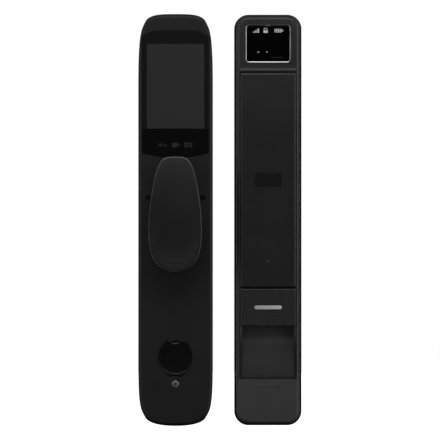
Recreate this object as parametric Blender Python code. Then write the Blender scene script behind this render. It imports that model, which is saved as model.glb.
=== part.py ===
"""Push-pull keypad smart lock: the outdoor and the indoor unit, side by side on one flat board.

Both units stand upright with their backs on the plane Y = 0 and their fronts facing -Y.
The origin is the centre of the outdoor unit's back plate. Dimensions are in millimetres,
and MM turns them into Blender's metres where a mesh is made.
"""

import math

import bmesh
import bpy
from mathutils import Vector

MM = 0.001
GAP = 0.3  # between neighbours that don't move on each other

# Both units
UNIT_HEIGHT = 430.0
HALF_HEIGHT = UNIT_HEIGHT / 2
UNIT_SPACING = 96.5  # from the outdoor unit's centre line to the indoor unit's
PLATE_THICK = 1.6  # steel back plates
RIM_BACK = -1.0  # back edge of the plastic shells, in front of the gasket
SPINDLE_Z = -81.0
SPINDLE_SOCKET = 8.2  # across the square socket
HUB_R = 11.0
HUB_COLLAR_R = 8.4  # the part that shows in the back plate's hole
HUB_FRONT = -9.6
BEARING_R = (11.2, 15.0)
PLATE_HOLE_R = 9.0  # in the back plates, round the spindle
FIXING_TOP_Z = 199.0
FIXING_LOW_Z = -192.0
FIXING_HOLE_R = 2.8
CABLE_SLOT = (8.0, -24.0, -8.0)  # half width, low Z, high Z
SCREW_PILOT_R = 1.7  # holes for the screws that hold each shell on its back plate

# Outdoor unit
OUT_HALF_WIDTH = 38.9
OUT_DEPTH = 27.0
OUT_WALL = 2.2
OUT_FRONT_WALL = 2.5
OUT_FRONT = -OUT_DEPTH
OUT_FRONT_INSIDE = OUT_FRONT + OUT_FRONT_WALL
OUT_SCREWS = ((-18.0, 203.0), (18.0, -203.0))

# Corners of the outdoor outline: two Bezier arcs that meet at a knee.
# knee is (from the centre line, from the end), lean is the slope there in radians,
# pulls are the handle lengths along the curve, length is where the straight side begins.
CORNER_TOP = {"knee": (31.8, 8.4), "lean": 1.14, "pulls": (15.3, 9.2, 7.7, 55.0), "length": 72.0}
CORNER_LOW = {"knee": (31.5, 8.7), "lean": 1.06, "pulls": (16.5, 6.6, 8.6, 40.0), "length": 58.0}

GLASS_HALF_WIDTH = 35.2
GLASS_TOP = (190.8, 198.2, 4.5)  # Z at the sides, Z at the centre, and the power of the curve between
GLASS_LOW = (70.0, 65.0, 2.0)
GLASS_FRONT = OUT_FRONT - 0.2
GLASS_BACK = OUT_FRONT + 1.4
DISPLAY_HALF_WIDTH = 29.8
DISPLAY_Z = (95.4, 183.6)

# Handle: a petal, with its widest point below the middle
PETAL_TOP = 66.0
PETAL_LOW = -54.5
PETAL_HALF_WIDTH = 27.9
PETAL_WIDEST_Z = -10.9
PETAL_KNEE = (17.4, 57.4)
PETAL_LEAN = 1.11
PETAL_PULLS = (11.1, 7.5, 13.1, 17.6, 25.1, 21.8)
HANDLE_EDGE = -59.0  # front edge of the handle
HANDLE_BACK = -47.5
HANDLE_DISH = 3.2
HANDLE_BOW = 9.0  # how far its top end falls back
HANDLE_BOW_START = 5.0
HANDLE_RIM = 4.2
TRIM_WIDTH = 1.3
TRIM_STEP = -56.8
HANDLE_PIVOT = (-20.5, 48.0)  # Y, Z of the hinge pin
HANDLE_PIN_R = 2.0
PIN_PLAY = 0.15  # radial play of the hinge pins
CROSS_GROOVE = (30.9, 20.4, 25.4)  # across the housing behind the handle: half width, low Z, high Z
GROOVE_DEPTH = 1.8
ARM_HALF_WIDTH = 8.0
NECK_HALF_WIDTH = 12.5  # of the arm between the housing and the handle
CHEEK_IN, CHEEK_OUT = 15.0, 17.0

# Drive inside the outdoor unit
SLIDER_Y = (-12.0, -10.0)
SLIDER_HALF_WIDTH = 7.0
LEVER_HALF = 2.0
PEG_R = 1.5
OUT_CRANK_R = 3.5

# Key cover and cylinder
COVER_Z = -142.8
COVER_R = 18.8
COVER_HINGE = (-26.0, -160.9)  # Y, Z
COVER_PIN_R = 0.6
COVER_EARS = (4.9, 7.3)  # of the seat, each side of the cover's knuckle
COVER_SEAT_R = 21.5
CYLINDER_Z = -134.8
CYLINDER_R = 8.5
CYLINDER_TAIL = 24.5
CYLINDER_TAIL_HALF = 5.0
PLUG_R = 6.7

BELL_Z = -170.7
BELL_RING_R = 3.85
BELL_BORE_R = 3.15
BELL_BUTTON_R = 2.95
BELL_COLLAR_R = 3.75  # behind the ring, so that it keeps the button in

# Indoor unit
IN_X = UNIT_SPACING
IN_HALF_WIDTH = 35.2
IN_CORNER_R = 15.0
IN_RIM_FRONT = -13.0
IN_RIM_WALL = 1.6
IN_BODY_INSET = 2.2
IN_WALL = 2.0
IN_FRONT = -30.0
IN_FRONT_INSIDE = -27.8
IN_SCREWS = ((-18.0, 207.0), (18.0, -208.6))  # X from the unit's centre line
PANEL_HALF_WIDTH = 29.2
PANEL_Z = (-70.7, 153.5)
PANEL_FRONT = -31.0
# Section of the low rib above the long front panel: a ramp down to a crest, as (height, Z)
RIB = ((0.0, 160.0), (0.15, 158.2), (0.45, 156.8), (0.7, 155.9), (0.5, 155.0))
RIB_FOOT = (-0.5, 154.7)
WINDOW_Z = 183.85
WINDOW_HALF = (23.65, 19.85)
WINDOW_CORNER_R = 3.7
WINDOW_LINE = 1.1
SENSOR_Z = (34.8, 48.7)
SENSOR_HALF_WIDTH = 13.55
LAMP_Z = -43.2
LAMP_R = 1.5
FLAP_Z = (-110.6, -71.8)
FLAP_HALF_WIDTH = 28.7
FLAP_FRONT = -31.6
FLAP_BACK = -29.4
FLAP_PIVOT = (-28.6, -72.8)  # Y, Z
FLAP_PIN_R = 1.0
FLAP_RELIEF = 0.4  # in the back of the flap's top corners, so that they turn clear of the ears
EAR_IN = 26.4  # inner faces of the scoop's ears, from the unit's centre line
BADGE_Z = -91.0
BADGE_HALF = (14.3, 2.0)
IN_CRANK_R = 7.0
SCOOP_Z = (-164.4, -92.0)
COVER_SPLIT_Z = -165.3
COVER_BACK = -13.6
CELL_R = 7.1
CELL_Z = (-202.5, -153.0)
CELL_Y = -16.2
CELL_PITCH = 14.4
IN_GASKET_WIDTH = 2.3  # wide enough to close the gap between the rim and the body behind them


# ---------------------------------------------------------------- outlines, as (x, z) points


def bezier(start, pull_a, pull_b, end, steps):
    """Points along a cubic Bezier, without its last point."""
    points = []
    for i in range(steps):
        t = i / steps
        a, b, c, d = (1 - t) ** 3, 3 * (1 - t) ** 2 * t, 3 * (1 - t) * t * t, t**3
        points.append(
            tuple(a * s + b * p + c * q + d * e for s, p, q, e in zip(start, pull_a, pull_b, end))
        )
    return points


def bar_corner(corner, half_width):
    """From the middle of one end, (0, 0), round to the straight side, as (out, down) points."""
    kx, kd = corner["knee"]
    along = (math.cos(corner["lean"]), math.sin(corner["lean"]))
    first, before, after, last = corner["pulls"]
    length = corner["length"]
    end_arc = bezier(
        (0, 0), (first, 0), (kx - before * along[0], kd - before * along[1]), (kx, kd), 7
    )
    side_arc = bezier(
        (kx, kd),
        (kx + after * along[0], kd + after * along[1]),
        (half_width, length - last),
        (half_width, length),
        7,
    )
    return end_arc + side_arc + [(half_width, length)]


def outdoor_outline():
    """The whole outdoor outline, anticlockwise as (x, z)."""
    top = bar_corner(CORNER_TOP, OUT_HALF_WIDTH)
    low = bar_corner(CORNER_LOW, OUT_HALF_WIDTH)
    right_top = [(x, HALF_HEIGHT - d) for x, d in top]
    right_low = [(x, -HALF_HEIGHT + d) for x, d in low]
    left_top = [(-x, z) for x, z in right_top]
    left_low = [(-x, z) for x, z in right_low]
    return right_low + right_top[::-1] + left_top[1:] + left_low[:0:-1]


def petal_outline():
    """The handle's outline: a narrow top, widest below the middle, a round lower end."""
    out_0, out_1, out_2, out_3, out_4, out_5 = PETAL_PULLS
    kx, kz = PETAL_KNEE
    along = (math.cos(PETAL_LEAN), -math.sin(PETAL_LEAN))
    right = bezier(
        (0, PETAL_TOP), (out_0, PETAL_TOP), (kx - out_1 * along[0], kz - out_1 * along[1]), (kx, kz), 5
    )
    right += bezier(
        (kx, kz),
        (kx + out_2 * along[0], kz + out_2 * along[1]),
        (PETAL_HALF_WIDTH, PETAL_WIDEST_Z + out_3),
        (PETAL_HALF_WIDTH, PETAL_WIDEST_Z),
        7,
    )
    right += bezier(
        (PETAL_HALF_WIDTH, PETAL_WIDEST_Z),
        (PETAL_HALF_WIDTH, PETAL_WIDEST_Z - out_4),
        (out_5, PETAL_LOW),
        (0, PETAL_LOW),
        9,
    )
    left = [(-x, z) for x, z in right[1:]]
    return [right[0]] + left + [(0, PETAL_LOW)] + right[:0:-1]


def glass_outline():
    """Straight sides, with a crowned top edge and a sagging lower edge."""
    points = []
    steps = 24
    for (side, middle, power), direction in ((GLASS_LOW, 1), (GLASS_TOP, -1)):
        for i in range(steps + 1):
            t = direction * (2 * i / steps - 1)
            points.append((GLASS_HALF_WIDTH * t, middle + (side - middle) * abs(t) ** power))
    return points


def rounded_rect(half_width, low, high, radius, steps=4):
    points = []
    middles = (
        (half_width - radius, high - radius, 0),
        (-half_width + radius, high - radius, 90),
        (-half_width + radius, low + radius, 180),
        (half_width - radius, low + radius, 270),
    )
    for x, z, start in middles:
        for i in range(steps + 1):
            angle = math.radians(start + 90 * i / steps)
            points.append((x + radius * math.cos(angle), z + radius * math.sin(angle)))
    return points


def circle(radius, steps=24):
    return [
        (radius * math.cos(2 * math.pi * i / steps), radius * math.sin(2 * math.pi * i / steps))
        for i in range(steps)
    ]


def euro_profile(grow=0.0):
    """Key cylinder section: a round head with a straight tail, centred on the plug."""
    head = CYLINDER_R + grow
    half = CYLINDER_TAIL_HALF + grow
    neck = math.asin(half / head)
    tail_z = -CYLINDER_TAIL + CYLINDER_TAIL_HALF
    points = []
    for i in range(9):
        angle = math.pi + math.pi * i / 8
        points.append((half * math.cos(angle), tail_z + half * math.sin(angle)))
    for i in range(19):
        angle = -math.pi / 2 + neck + (2 * math.pi - 2 * neck) * i / 18
        points.append((head * math.cos(angle), head * math.sin(angle)))
    return points


def inset(points, distance):
    """The outline moved inwards, each point along the bisector of its two edges."""
    moved = []
    count = len(points)
    for i, (x, z) in enumerate(points):
        before = Vector((x - points[i - 1][0], z - points[i - 1][1])).normalized()
        after_x, after_z = points[(i + 1) % count]
        after = Vector((after_x - x, after_z - z)).normalized()
        normal = Vector((-before.y - after.y, before.x + after.x)).normalized()
        reach = distance / max(0.5, normal.dot(Vector((-after.y, after.x))))
        moved.append((x + normal.x * reach, z + normal.y * reach))
    return moved


def shifted(points, x=0.0, z=0.0):
    return [(px + x, pz + z) for px, pz in points]


# ---------------------------------------------------------------- solids, as (corners, faces)


def strip_cap(count, start):
    """Faces across a ring that is the same left and right of its first point, so that each is flat."""
    half = count // 2
    faces = [(start, start + 1, start + count - 1)]
    for i in range(1, half - 1):
        faces.append((start + i, start + i + 1, start + count - i - 1, start + count - i))
    faces.append((start + half - 1, start + half, start + half + 1))
    return faces


def loft(rings, closed=False, bent=False):
    """Skin over rings of equal length: capped at both ends, or closed into a hoop."""
    count = len(rings[0])
    corners = [point for ring in rings for point in ring]
    faces = []
    spans = len(rings) if closed else len(rings) - 1
    for span in range(spans):
        a, b = span * count, (span + 1) % len(rings) * count
        for i in range(count):
            j = (i + 1) % count
            faces.append((a + i, a + j, b + j, b + i))
    if not closed:
        for start in (0, len(corners) - count):
            faces += strip_cap(count, start) if bent else [tuple(range(start, start + count))]
    return corners, faces


def at_y(points, y, lift=None):
    """The outline as a ring at depth y, bent along Z by lift where given."""
    return [(x, y + (lift(z) if lift else 0.0), z) for x, z in points]


def prism(points, y_a, y_b, lift=None):
    return loft([at_y(points, y_a, lift), at_y(points, y_b, lift)], bent=lift is not None)


def hoop(outer, inner, y_a, y_b):
    return loft([at_y(outer, y_a), at_y(outer, y_b), at_y(inner, y_b), at_y(inner, y_a)], closed=True)


def side_prism(profile, x_a, x_b):
    """A (y, z) profile drawn out along X."""
    return loft([[(x, y, z) for y, z in profile] for x in (x_a, x_b)])


def box(x, y, z):
    """A block between the two values of each axis."""
    return side_prism([(y[0], z[0]), (y[1], z[0]), (y[1], z[1]), (y[0], z[1])], x[0], x[1])


def turned(x, z, profile, steps=24):
    """A solid turned about a line along Y, from (radius, y) pairs."""
    return loft([at_y(shifted(circle(r, steps), x, z), y) for r, y in profile])


def side_turned(x, y, profile, steps=20):
    """A solid turned about a vertical line, from (radius, z) pairs."""
    return loft([[(x + a, y + b, z) for a, b in circle(r, steps)] for r, z in profile])


def rod(x, y, z, radius, steps=16):
    """A round bar along X between the two values of x, centred on y and z."""
    profile = [(y + a, z + b) for a, b in circle(radius, steps)]
    return side_prism(profile, x[0], x[1])


def coil(x, y, z, radius, wire, turns, steps=12, sides=6):
    """A helical spring round a line along X, with flat ends."""
    rings = []
    total = turns * steps
    for i in range(total + 1):
        angle = 2 * math.pi * i / steps
        middle_x = x[0] + (x[1] - x[0]) * i / total
        ring = []
        for k in range(sides):
            turn = 2 * math.pi * k / sides
            reach = radius + wire * math.cos(turn)
            ring.append(
                (
                    middle_x + wire * math.sin(turn),
                    y + reach * math.cos(angle),
                    z + reach * math.sin(angle),
                )
            )
        rings.append(ring)
    return loft(rings)


# ---------------------------------------------------------------- objects


def finish(name, colour, roughness, metallic=0.0):
    material = bpy.data.materials.new(name)
    material.use_nodes = True
    shader = material.node_tree.nodes["Principled BSDF"]
    shader.inputs["Base Color"].default_value = (*colour, 1.0)
    shader.inputs["Roughness"].default_value = roughness
    shader.inputs["Metallic"].default_value = metallic
    return material


def mesh_of(name, solid, origin=(0.0, 0.0, 0.0)):
    corners, faces = solid
    mesh = bpy.data.meshes.new(name)
    mesh.from_pydata([[(c - o) * MM for c, o in zip(corner, origin)] for corner in corners], [], faces)
    shape = bmesh.new()
    shape.from_mesh(mesh)
    bmesh.ops.recalc_face_normals(shape, faces=shape.faces)
    shape.to_mesh(mesh)
    shape.free()
    mesh.shade_smooth()
    mesh.set_sharp_from_angle(angle=math.radians(35))
    return mesh


def pivot(name, place):
    """An empty on a joint's axis, which the moving pieces hang from."""
    empty = bpy.data.objects.new(name, None)
    empty.location = [c * MM for c in place]
    bpy.context.scene.collection.objects.link(empty)
    return empty


def piece(name, solid, material, on=None):
    """One sub-part. A moving one has its origin on the pivot empty that it hangs from."""
    origin = [c / MM for c in on.location] if on else (0.0, 0.0, 0.0)
    mesh = mesh_of(name, solid, origin)
    mesh.materials.append(material)
    made = bpy.data.objects.new(name, mesh)
    made.parent = on
    bpy.context.scene.collection.objects.link(made)
    return made


def combine(target, operation, solids):
    """Cut solids out of the target, or join them on, each with its own hidden tool object."""
    for i, solid in enumerate(solids):
        tool = bpy.data.objects.new(
            f"tool_{target.name}_{operation.lower()}_{i}", mesh_of("tool", solid)
        )
        tool.hide_render = True
        tool.display_type = "WIRE"
        bpy.context.scene.collection.objects.link(tool)
        step = target.modifiers.new(f"{operation.lower()}_{i}", "BOOLEAN")
        step.operation = operation
        step.solver = "EXACT"
        step.object = tool


def cut(target, *solids):
    combine(target, "DIFFERENCE", solids)


def join(target, *solids):
    combine(target, "UNION", solids)


def soften(target, width, segments=1):
    bevel = target.modifiers.new("soften", "BEVEL")
    bevel.width = width * MM
    bevel.segments = segments
    bevel.limit_method = "ANGLE"
    bevel.angle_limit = math.radians(40)


# ---------------------------------------------------------------- outdoor unit


def outdoor_housing(outline, black):
    """The cast shell: open at the back, with its front edges rounded over."""
    outside = [
        at_y(inset(outline, reach), OUT_FRONT + back)
        for reach, back in ((4.2, 0.0), (1.9, 0.45), (0.6, 1.6), (0.0, 3.6))
    ]
    outside.append(at_y(outline, RIM_BACK))
    inside = [
        at_y(inset(outline, OUT_WALL), RIM_BACK),
        at_y(inset(outline, OUT_WALL), OUT_FRONT_INSIDE + 2.0),
        at_y(inset(outline, OUT_WALL + 2.0), OUT_FRONT_INSIDE),
    ]
    housing = piece("outdoor_housing", loft(outside + inside), black)
    through = (OUT_FRONT - 2.0, OUT_FRONT_INSIDE + 1.5)
    display_x = (-DISPLAY_HALF_WIDTH - 1, DISPLAY_HALF_WIDTH + 1)
    cut(
        housing,
        prism(inset(glass_outline(), -GAP), OUT_FRONT - 2.0, GLASS_BACK + GAP),
        box(display_x, through, (DISPLAY_Z[0] - 1, DISPLAY_Z[1] + 1)),
        box((-ARM_HALF_WIDTH - 1, ARM_HALF_WIDTH + 1), through, (36.8, 58.2)),
        prism(rounded_rect(*CROSS_GROOVE, 2.0), OUT_FRONT - 2.0, OUT_FRONT + GROOVE_DEPTH),
        turned(0, COVER_Z, [(COVER_R + GAP, y) for y in through], 40),
        box((-8.2, 8.2), through, (COVER_HINGE[1] - 2.3, COVER_HINGE[1] + 2.3)),
        turned(0, BELL_Z, [(BELL_RING_R + GAP, y) for y in through]),
        box((-4.9, 4.9), (-16.1, -11.9), (-HALF_HEIGHT - 3.0, -HALF_HEIGHT + 6.0)),
    )
    return housing


def back_plate(name, outline, centre_x, screws, steel):
    """A pressed plate: spindle hole, cable slot, fixing holes and countersunk screw holes."""
    plate = piece(name, prism(outline, 0.0, -PLATE_THICK), steel)
    past = (1.0, -PLATE_THICK - 1.0)
    cut(
        plate,
        turned(centre_x, SPINDLE_Z, [(PLATE_HOLE_R, y) for y in past]),
        prism(shifted(rounded_rect(*CABLE_SLOT, 3.0), centre_x), *past),
        *[turned(centre_x, z, [(FIXING_HOLE_R, y) for y in past], 16) for z in (FIXING_TOP_Z, FIXING_LOW_Z)],
        *[turned(x, z, [(4.3, 1.0), (3.2, -0.1), (1.8, -1.5), (1.8, -2.6)], 16) for x, z in screws],
    )


def screw(name, x, z, steel):
    """A countersunk screw, driven from the back."""
    made = piece(name, turned(x, z, [(2.8, -0.3), (1.4, -1.7), (1.4, -9.0)], 12), steel)
    cut(made, box((x - 1.6, x + 1.6), (1.0, -1.0), (z - 0.4, z + 0.4)))


def spindle_hub(name, centre_x, crank, peg_front, on, steel):
    """The turning hub: a square socket at the back, a crank peg at the front."""
    profile = [(HUB_COLLAR_R, -0.6), (HUB_COLLAR_R, -2.0), (HUB_R, -2.0), (HUB_R, HUB_FRONT)]
    hub = piece(name, turned(centre_x, SPINDLE_Z, profile, 32), steel, on)
    half = SPINDLE_SOCKET / 2
    cut(hub, box((centre_x - half, centre_x + half), (1.0, -8.0), (SPINDLE_Z - half, SPINDLE_Z + half)))
    join(hub, turned(centre_x + crank, SPINDLE_Z, [(PEG_R, HUB_FRONT + 0.6), (PEG_R, peg_front)], 12))


def hub_bearing(name, centre_x, steel):
    """The ring that the hub turns in."""
    inner, outer = (shifted(circle(radius, 32), centre_x, SPINDLE_Z) for radius in BEARING_R)
    piece(name, hoop(outer, inner, -2.0, -6.5), steel)


def handle_lift(z):
    """How far the handle falls back towards the door at height z."""
    rise = max(0.0, (z - HANDLE_BOW_START) / (PETAL_TOP - HANDLE_BOW_START))
    return HANDLE_BOW * rise * rise


def shrink(points, factor, middle_z):
    return [(x * factor, middle_z + (z - middle_z) * factor) for x, z in points]


def handle_pieces(outline, on, black, bright, plastic, steel):
    """The petal shell with its dished face, the bright trim hoop, the back cover and the arm."""
    middle_z = (PETAL_TOP + PETAL_LOW) / 2
    face = inset(outline, TRIM_WIDTH + GAP)
    rings = [
        at_y(shrink(face, factor, middle_z), HANDLE_EDGE + HANDLE_DISH * depth, handle_lift)
        for factor, depth in ((0.3, 1.0), (0.62, 0.75), (0.86, 0.25))
    ]
    rings.append(at_y(face, HANDLE_EDGE, handle_lift))
    rings.append(at_y(face, TRIM_STEP, handle_lift))
    for reach, y in ((0.0, TRIM_STEP), (0.0, -51.0), (1.0, -48.6), (2.2, HANDLE_BACK)):
        rings.append(at_y(inset(outline, reach), y, handle_lift))
    for y in (HANDLE_BACK, -53.6):
        rings.append(at_y(inset(outline, HANDLE_RIM), y, handle_lift))
    piece("handle_shell", loft(rings, bent=True), black, on)

    trim_back, trim_front = TRIM_STEP - GAP, HANDLE_EDGE + GAP
    trim = [(0.0, trim_back), (0.0, trim_front + 1.3), (0.9, trim_front)]
    trim += [(TRIM_WIDTH, trim_front), (TRIM_WIDTH, trim_back)]
    trim_rings = [at_y(inset(outline, reach), y, handle_lift) for reach, y in trim]
    piece("handle_trim", loft(trim_rings, closed=True), bright, on)

    back = piece(
        "handle_back_cover",
        prism(inset(outline, HANDLE_RIM + GAP), HANDLE_BACK - 0.2, -49.4, handle_lift),
        plastic,
        on,
    )
    cut(back, box((-ARM_HALF_WIDTH - GAP, ARM_HALF_WIDTH + GAP), (-56.0, -38.0), (33.4, 58.8)))

    tip_y = SLIDER_Y[1] + 0.6
    pivot_z = HANDLE_PIVOT[1]
    arm = piece(
        "handle_arm",
        side_prism(
            [
                (-45.4, 58.0),
                (-50.6, 34.2),
                (-27.5, 38.5),
                (-18.0, 42.8),
                (-16.0, pivot_z - LEVER_HALF),
                (tip_y, pivot_z - LEVER_HALF),
                (tip_y, pivot_z + LEVER_HALF),
                (-16.0, pivot_z + LEVER_HALF),
                (-18.0, 53.2),
                (-24.0, 54.6),
                (-27.5, 55.6),
            ],
            -ARM_HALF_WIDTH,
            ARM_HALF_WIDTH,
        ),
        steel,
        on,
    )
    neck_low, neck_high = 35.5, 56.5
    back_y = HANDLE_BACK + 0.4
    neck = [
        (-28.5, neck_low + 2.0),
        (-29.8, neck_high),
        (back_y + handle_lift(neck_high), neck_high),
        (back_y + handle_lift(neck_low), neck_low),
    ]
    join(arm, side_prism(neck, -NECK_HALF_WIDTH, NECK_HALF_WIDTH))
    cut(arm, rod((-20, 20), *HANDLE_PIVOT, HANDLE_PIN_R + PIN_PLAY))


def handle_mechanism(steel, spring_steel, slide_pivot, hub_pivot):
    """What stays in the housing, then the slider and the hub that the handle drives."""
    pivot_y, pivot_z = HANDLE_PIVOT
    bracket = piece(
        "handle_bracket",
        box((-CHEEK_OUT, CHEEK_OUT), (-1.9, -24.0), (pivot_z - 6, pivot_z + 6)),
        steel,
    )
    cut(
        bracket,
        box((-CHEEK_IN, CHEEK_IN), (-3.6, -30.0), (pivot_z - 8, pivot_z + 8)),
        rod((-25, 25), pivot_y, pivot_z, HANDLE_PIN_R + PIN_PLAY),
    )
    piece("handle_pin", rod((-CHEEK_OUT - 0.8, CHEEK_OUT + 0.8), pivot_y, pivot_z, HANDLE_PIN_R), steel)
    piece("handle_spring", coil((9.2, 14.0), pivot_y, pivot_z, 3.3, 0.45, 4), spring_steel)

    slider = piece(
        "drive_slider",
        box((-SLIDER_HALF_WIDTH, SLIDER_HALF_WIDTH), SLIDER_Y, (SPINDLE_Z - 6, pivot_z - 6)),
        steel,
        slide_pivot,
    )
    join(slider, box((-12, 12), SLIDER_Y, (pivot_z - 6.5, pivot_z + 6)))
    window = ARM_HALF_WIDTH + 0.5
    through = (SLIDER_Y[0] - 1, SLIDER_Y[1] + 1)
    cut(
        slider,
        box((-window, window), through, (pivot_z - 2.8, pivot_z + 2.8)),
        box((OUT_CRANK_R - 2.6, OUT_CRANK_R + 2.2), through, (SPINDLE_Z - 1.9, SPINDLE_Z + 1.9)),
    )
    guide = piece("slider_guide", box((-11, 11), (-1.9, -14.6), (-44, -34)), steel)
    cut(guide, box((-7.5, 7.5), (-9.6, -12.4), (-46, -32)))
    spindle_hub("outdoor_spindle_hub", 0.0, OUT_CRANK_R, -12.4, hub_pivot, steel)
    hub_bearing("outdoor_hub_bearing", 0.0, steel)


def key_cover_pieces(cover_on, plug_on, gloss, plastic, brass, steel):
    """The flip-down disc, its seat and pin, and the cylinder with its turning plug behind."""
    pin_y, pin_z = COVER_HINGE
    disc = [(COVER_R - 2.6, -27.9), (COVER_R - 0.7, -27.4), (COVER_R, -26.6), (COVER_R, -24.6)]
    cover = piece("key_cover", turned(0, COVER_Z, disc, 40), gloss, cover_on)
    join(cover, rod((-4.4, 4.4), pin_y, pin_z, 1.3, 12))
    cut(
        cover,
        rod((-12, 12), pin_y, pin_z, COVER_PIN_R + 0.12, 12),
        box((-12, -4.7), (-28.5, -24.0), (pin_z - 2.0, pin_z + 1.6)),
        box((4.7, 12), (-28.5, -24.0), (pin_z - 2.0, pin_z + 1.6)),
        turned(0, COVER_Z + COVER_R - 3.0, [(2.6, -30.0), (2.6, -27.4)], 16),
    )
    seat_profile = [(COVER_SEAT_R, -24.1), (COVER_SEAT_R, -21.4)]
    seat = piece("key_cover_seat", turned(0, COVER_Z, seat_profile, 32), plastic)
    for side in (-1, 1):
        inner, outer = (side * reach for reach in COVER_EARS)
        join(seat, box((inner, outer), (-22.0, -27.0), (pin_z - 1.3, pin_z + 1.3)))
    cut(
        seat,
        prism(shifted(euro_profile(0.4), 0, CYLINDER_Z), -30.0, -20.0),
        rod((-12, 12), pin_y, pin_z, COVER_PIN_R + 0.12, 12),
    )
    piece("key_cover_pin", rod((-7.1, 7.1), pin_y, pin_z, COVER_PIN_R, 10), steel)

    cylinder = piece(
        "key_cylinder", prism(shifted(euro_profile(), 0, CYLINDER_Z), -2.0, -22.6), brass
    )
    cut(cylinder, turned(0, CYLINDER_Z, [(PLUG_R + 0.1, 0.0), (PLUG_R + 0.1, -30.0)]))
    plug = piece("cylinder_plug", turned(0, CYLINDER_Z, [(PLUG_R, -1.9), (PLUG_R, -22.9)]), brass, plug_on)
    cut(plug, box((-0.8, 0.8), (-8.0, -25.0), (CYLINDER_Z - 4.2, CYLINDER_Z + 4.2)))


def doorbell_pieces(on, bright, plastic):
    """The bright ring, the button with a collar that keeps it in, and the switch behind it."""
    outer, inner = (shifted(circle(radius), 0, BELL_Z) for radius in (BELL_RING_R, BELL_BORE_R))
    piece("doorbell_ring", hoop(outer, inner, -24.0, OUT_FRONT - 0.5), bright)
    collar = [(BELL_COLLAR_R, -21.9), (BELL_COLLAR_R, -23.4)]
    cap = [(BELL_BUTTON_R, -23.4), (BELL_BUTTON_R, -27.2), (BELL_BUTTON_R - 0.4, -27.4)]
    piece("doorbell_button", turned(0, BELL_Z, collar + cap), bright, on)
    switch = piece("doorbell_switch", box((-3, 3), (-20.6, -16.8), (BELL_Z - 3, BELL_Z + 3)), plastic)
    soften(switch, 0.4)


def outdoor_unit(looks):
    outline = outdoor_outline()
    housing = outdoor_housing(outline, looks["black"])
    join(housing, *[turned(x, z, [(3.6, -2.2), (3.6, OUT_FRONT_INSIDE - 1.0)], 12) for x, z in OUT_SCREWS])
    cut(housing, *[turned(x, z, [(SCREW_PILOT_R, -1.0), (SCREW_PILOT_R, -12.0)], 12) for x, z in OUT_SCREWS])
    back_plate("outdoor_back_plate", inset(outline, OUT_WALL + 0.6), 0.0, OUT_SCREWS, looks["steel"])
    gasket = hoop(inset(outline, 0.3), inset(outline, OUT_WALL + 0.2), 0.0, RIM_BACK + GAP)
    piece("outdoor_gasket", gasket, looks["rubber"])
    for i, (x, z) in enumerate(OUT_SCREWS):
        screw(f"outdoor_screw_{i + 1}", x, z, looks["steel"])
    piece("keypad_glass", prism(glass_outline(), GLASS_FRONT, GLASS_BACK), looks["glass"])
    display_x = (-DISPLAY_HALF_WIDTH, DISPLAY_HALF_WIDTH)
    piece("keypad_display", box(display_x, (GLASS_BACK + GAP, -21.0), DISPLAY_Z), looks["display"])
    piece("outdoor_board", box((-30.0, 30.0), (-20.6, -19.0), (64.0, 188.0)), looks["board"])

    handle_y, handle_z = HANDLE_PIVOT
    on_handle = pivot("handle_axis", (0.0, handle_y, handle_z))
    on_slider = pivot("drive_slider_axis", (0.0, SLIDER_Y[0], SPINDLE_Z))
    on_hub = pivot("outdoor_spindle_axis", (0.0, 0.0, SPINDLE_Z))
    on_cover = pivot("key_cover_axis", (0.0, *COVER_HINGE))
    on_plug = pivot("cylinder_plug_axis", (0.0, -22.9, CYLINDER_Z))
    on_bell = pivot("doorbell_axis", (0.0, OUT_FRONT, BELL_Z))
    petal = petal_outline()
    handle_pieces(petal, on_handle, looks["handle"], looks["bright"], looks["plastic"], looks["steel"])
    handle_mechanism(looks["steel"], looks["spring"], on_slider, on_hub)
    key_cover_pieces(on_cover, on_plug, looks["gloss"], looks["plastic"], looks["brass"], looks["steel"])
    doorbell_pieces(on_bell, looks["bright"], looks["plastic"])

    speaker = turned(20.0, -104.0, [(9.0, -23.8), (9.0, -20.5), (6.0, -20.5), (6.0, -17.0)], 20)
    piece("speaker", speaker, looks["plastic"])
    port = piece("emergency_power_port", box((-4.6, 4.6), (-15.8, -12.2), (-212.6, -205.5)), looks["steel"])
    cut(port, box((-4.0, 4.0), (-15.2, -12.8), (-214.0, -207.0)))
    for name, z in (("upper_fixing_boss", FIXING_TOP_Z), ("lower_fixing_boss", FIXING_LOW_Z)):
        boss = piece(name, turned(0, z, [(4.6, -1.9), (4.6, -20.0)], 20), looks["steel"])
        cut(boss, turned(0, z, [(2.1, -1.0), (2.1, -17.0)], 16))


# ---------------------------------------------------------------- indoor unit


def indoor_outline(reach=0.0):
    half = IN_HALF_WIDTH - reach
    end = HALF_HEIGHT - reach
    return shifted(rounded_rect(half, -end, end, IN_CORNER_R - reach, 8), IN_X)


def indoor_shell(back):
    """Rings of the front shell, which the fixed body and the battery cover share."""
    outside = [
        at_y(indoor_outline(IN_BODY_INSET + reach), IN_FRONT + depth)
        for reach, depth in ((4.4, 0.0), (2.4, 0.5), (0.8, 1.7), (0.0, 4.0))
    ]
    outside.append(at_y(indoor_outline(IN_BODY_INSET), back))
    inner = IN_BODY_INSET + IN_WALL
    return loft(
        outside
        + [
            at_y(indoor_outline(inner), back),
            at_y(indoor_outline(inner), IN_FRONT_INSIDE + 2.0),
            at_y(indoor_outline(inner + 2.2), IN_FRONT_INSIDE),
        ]
    )


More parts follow.
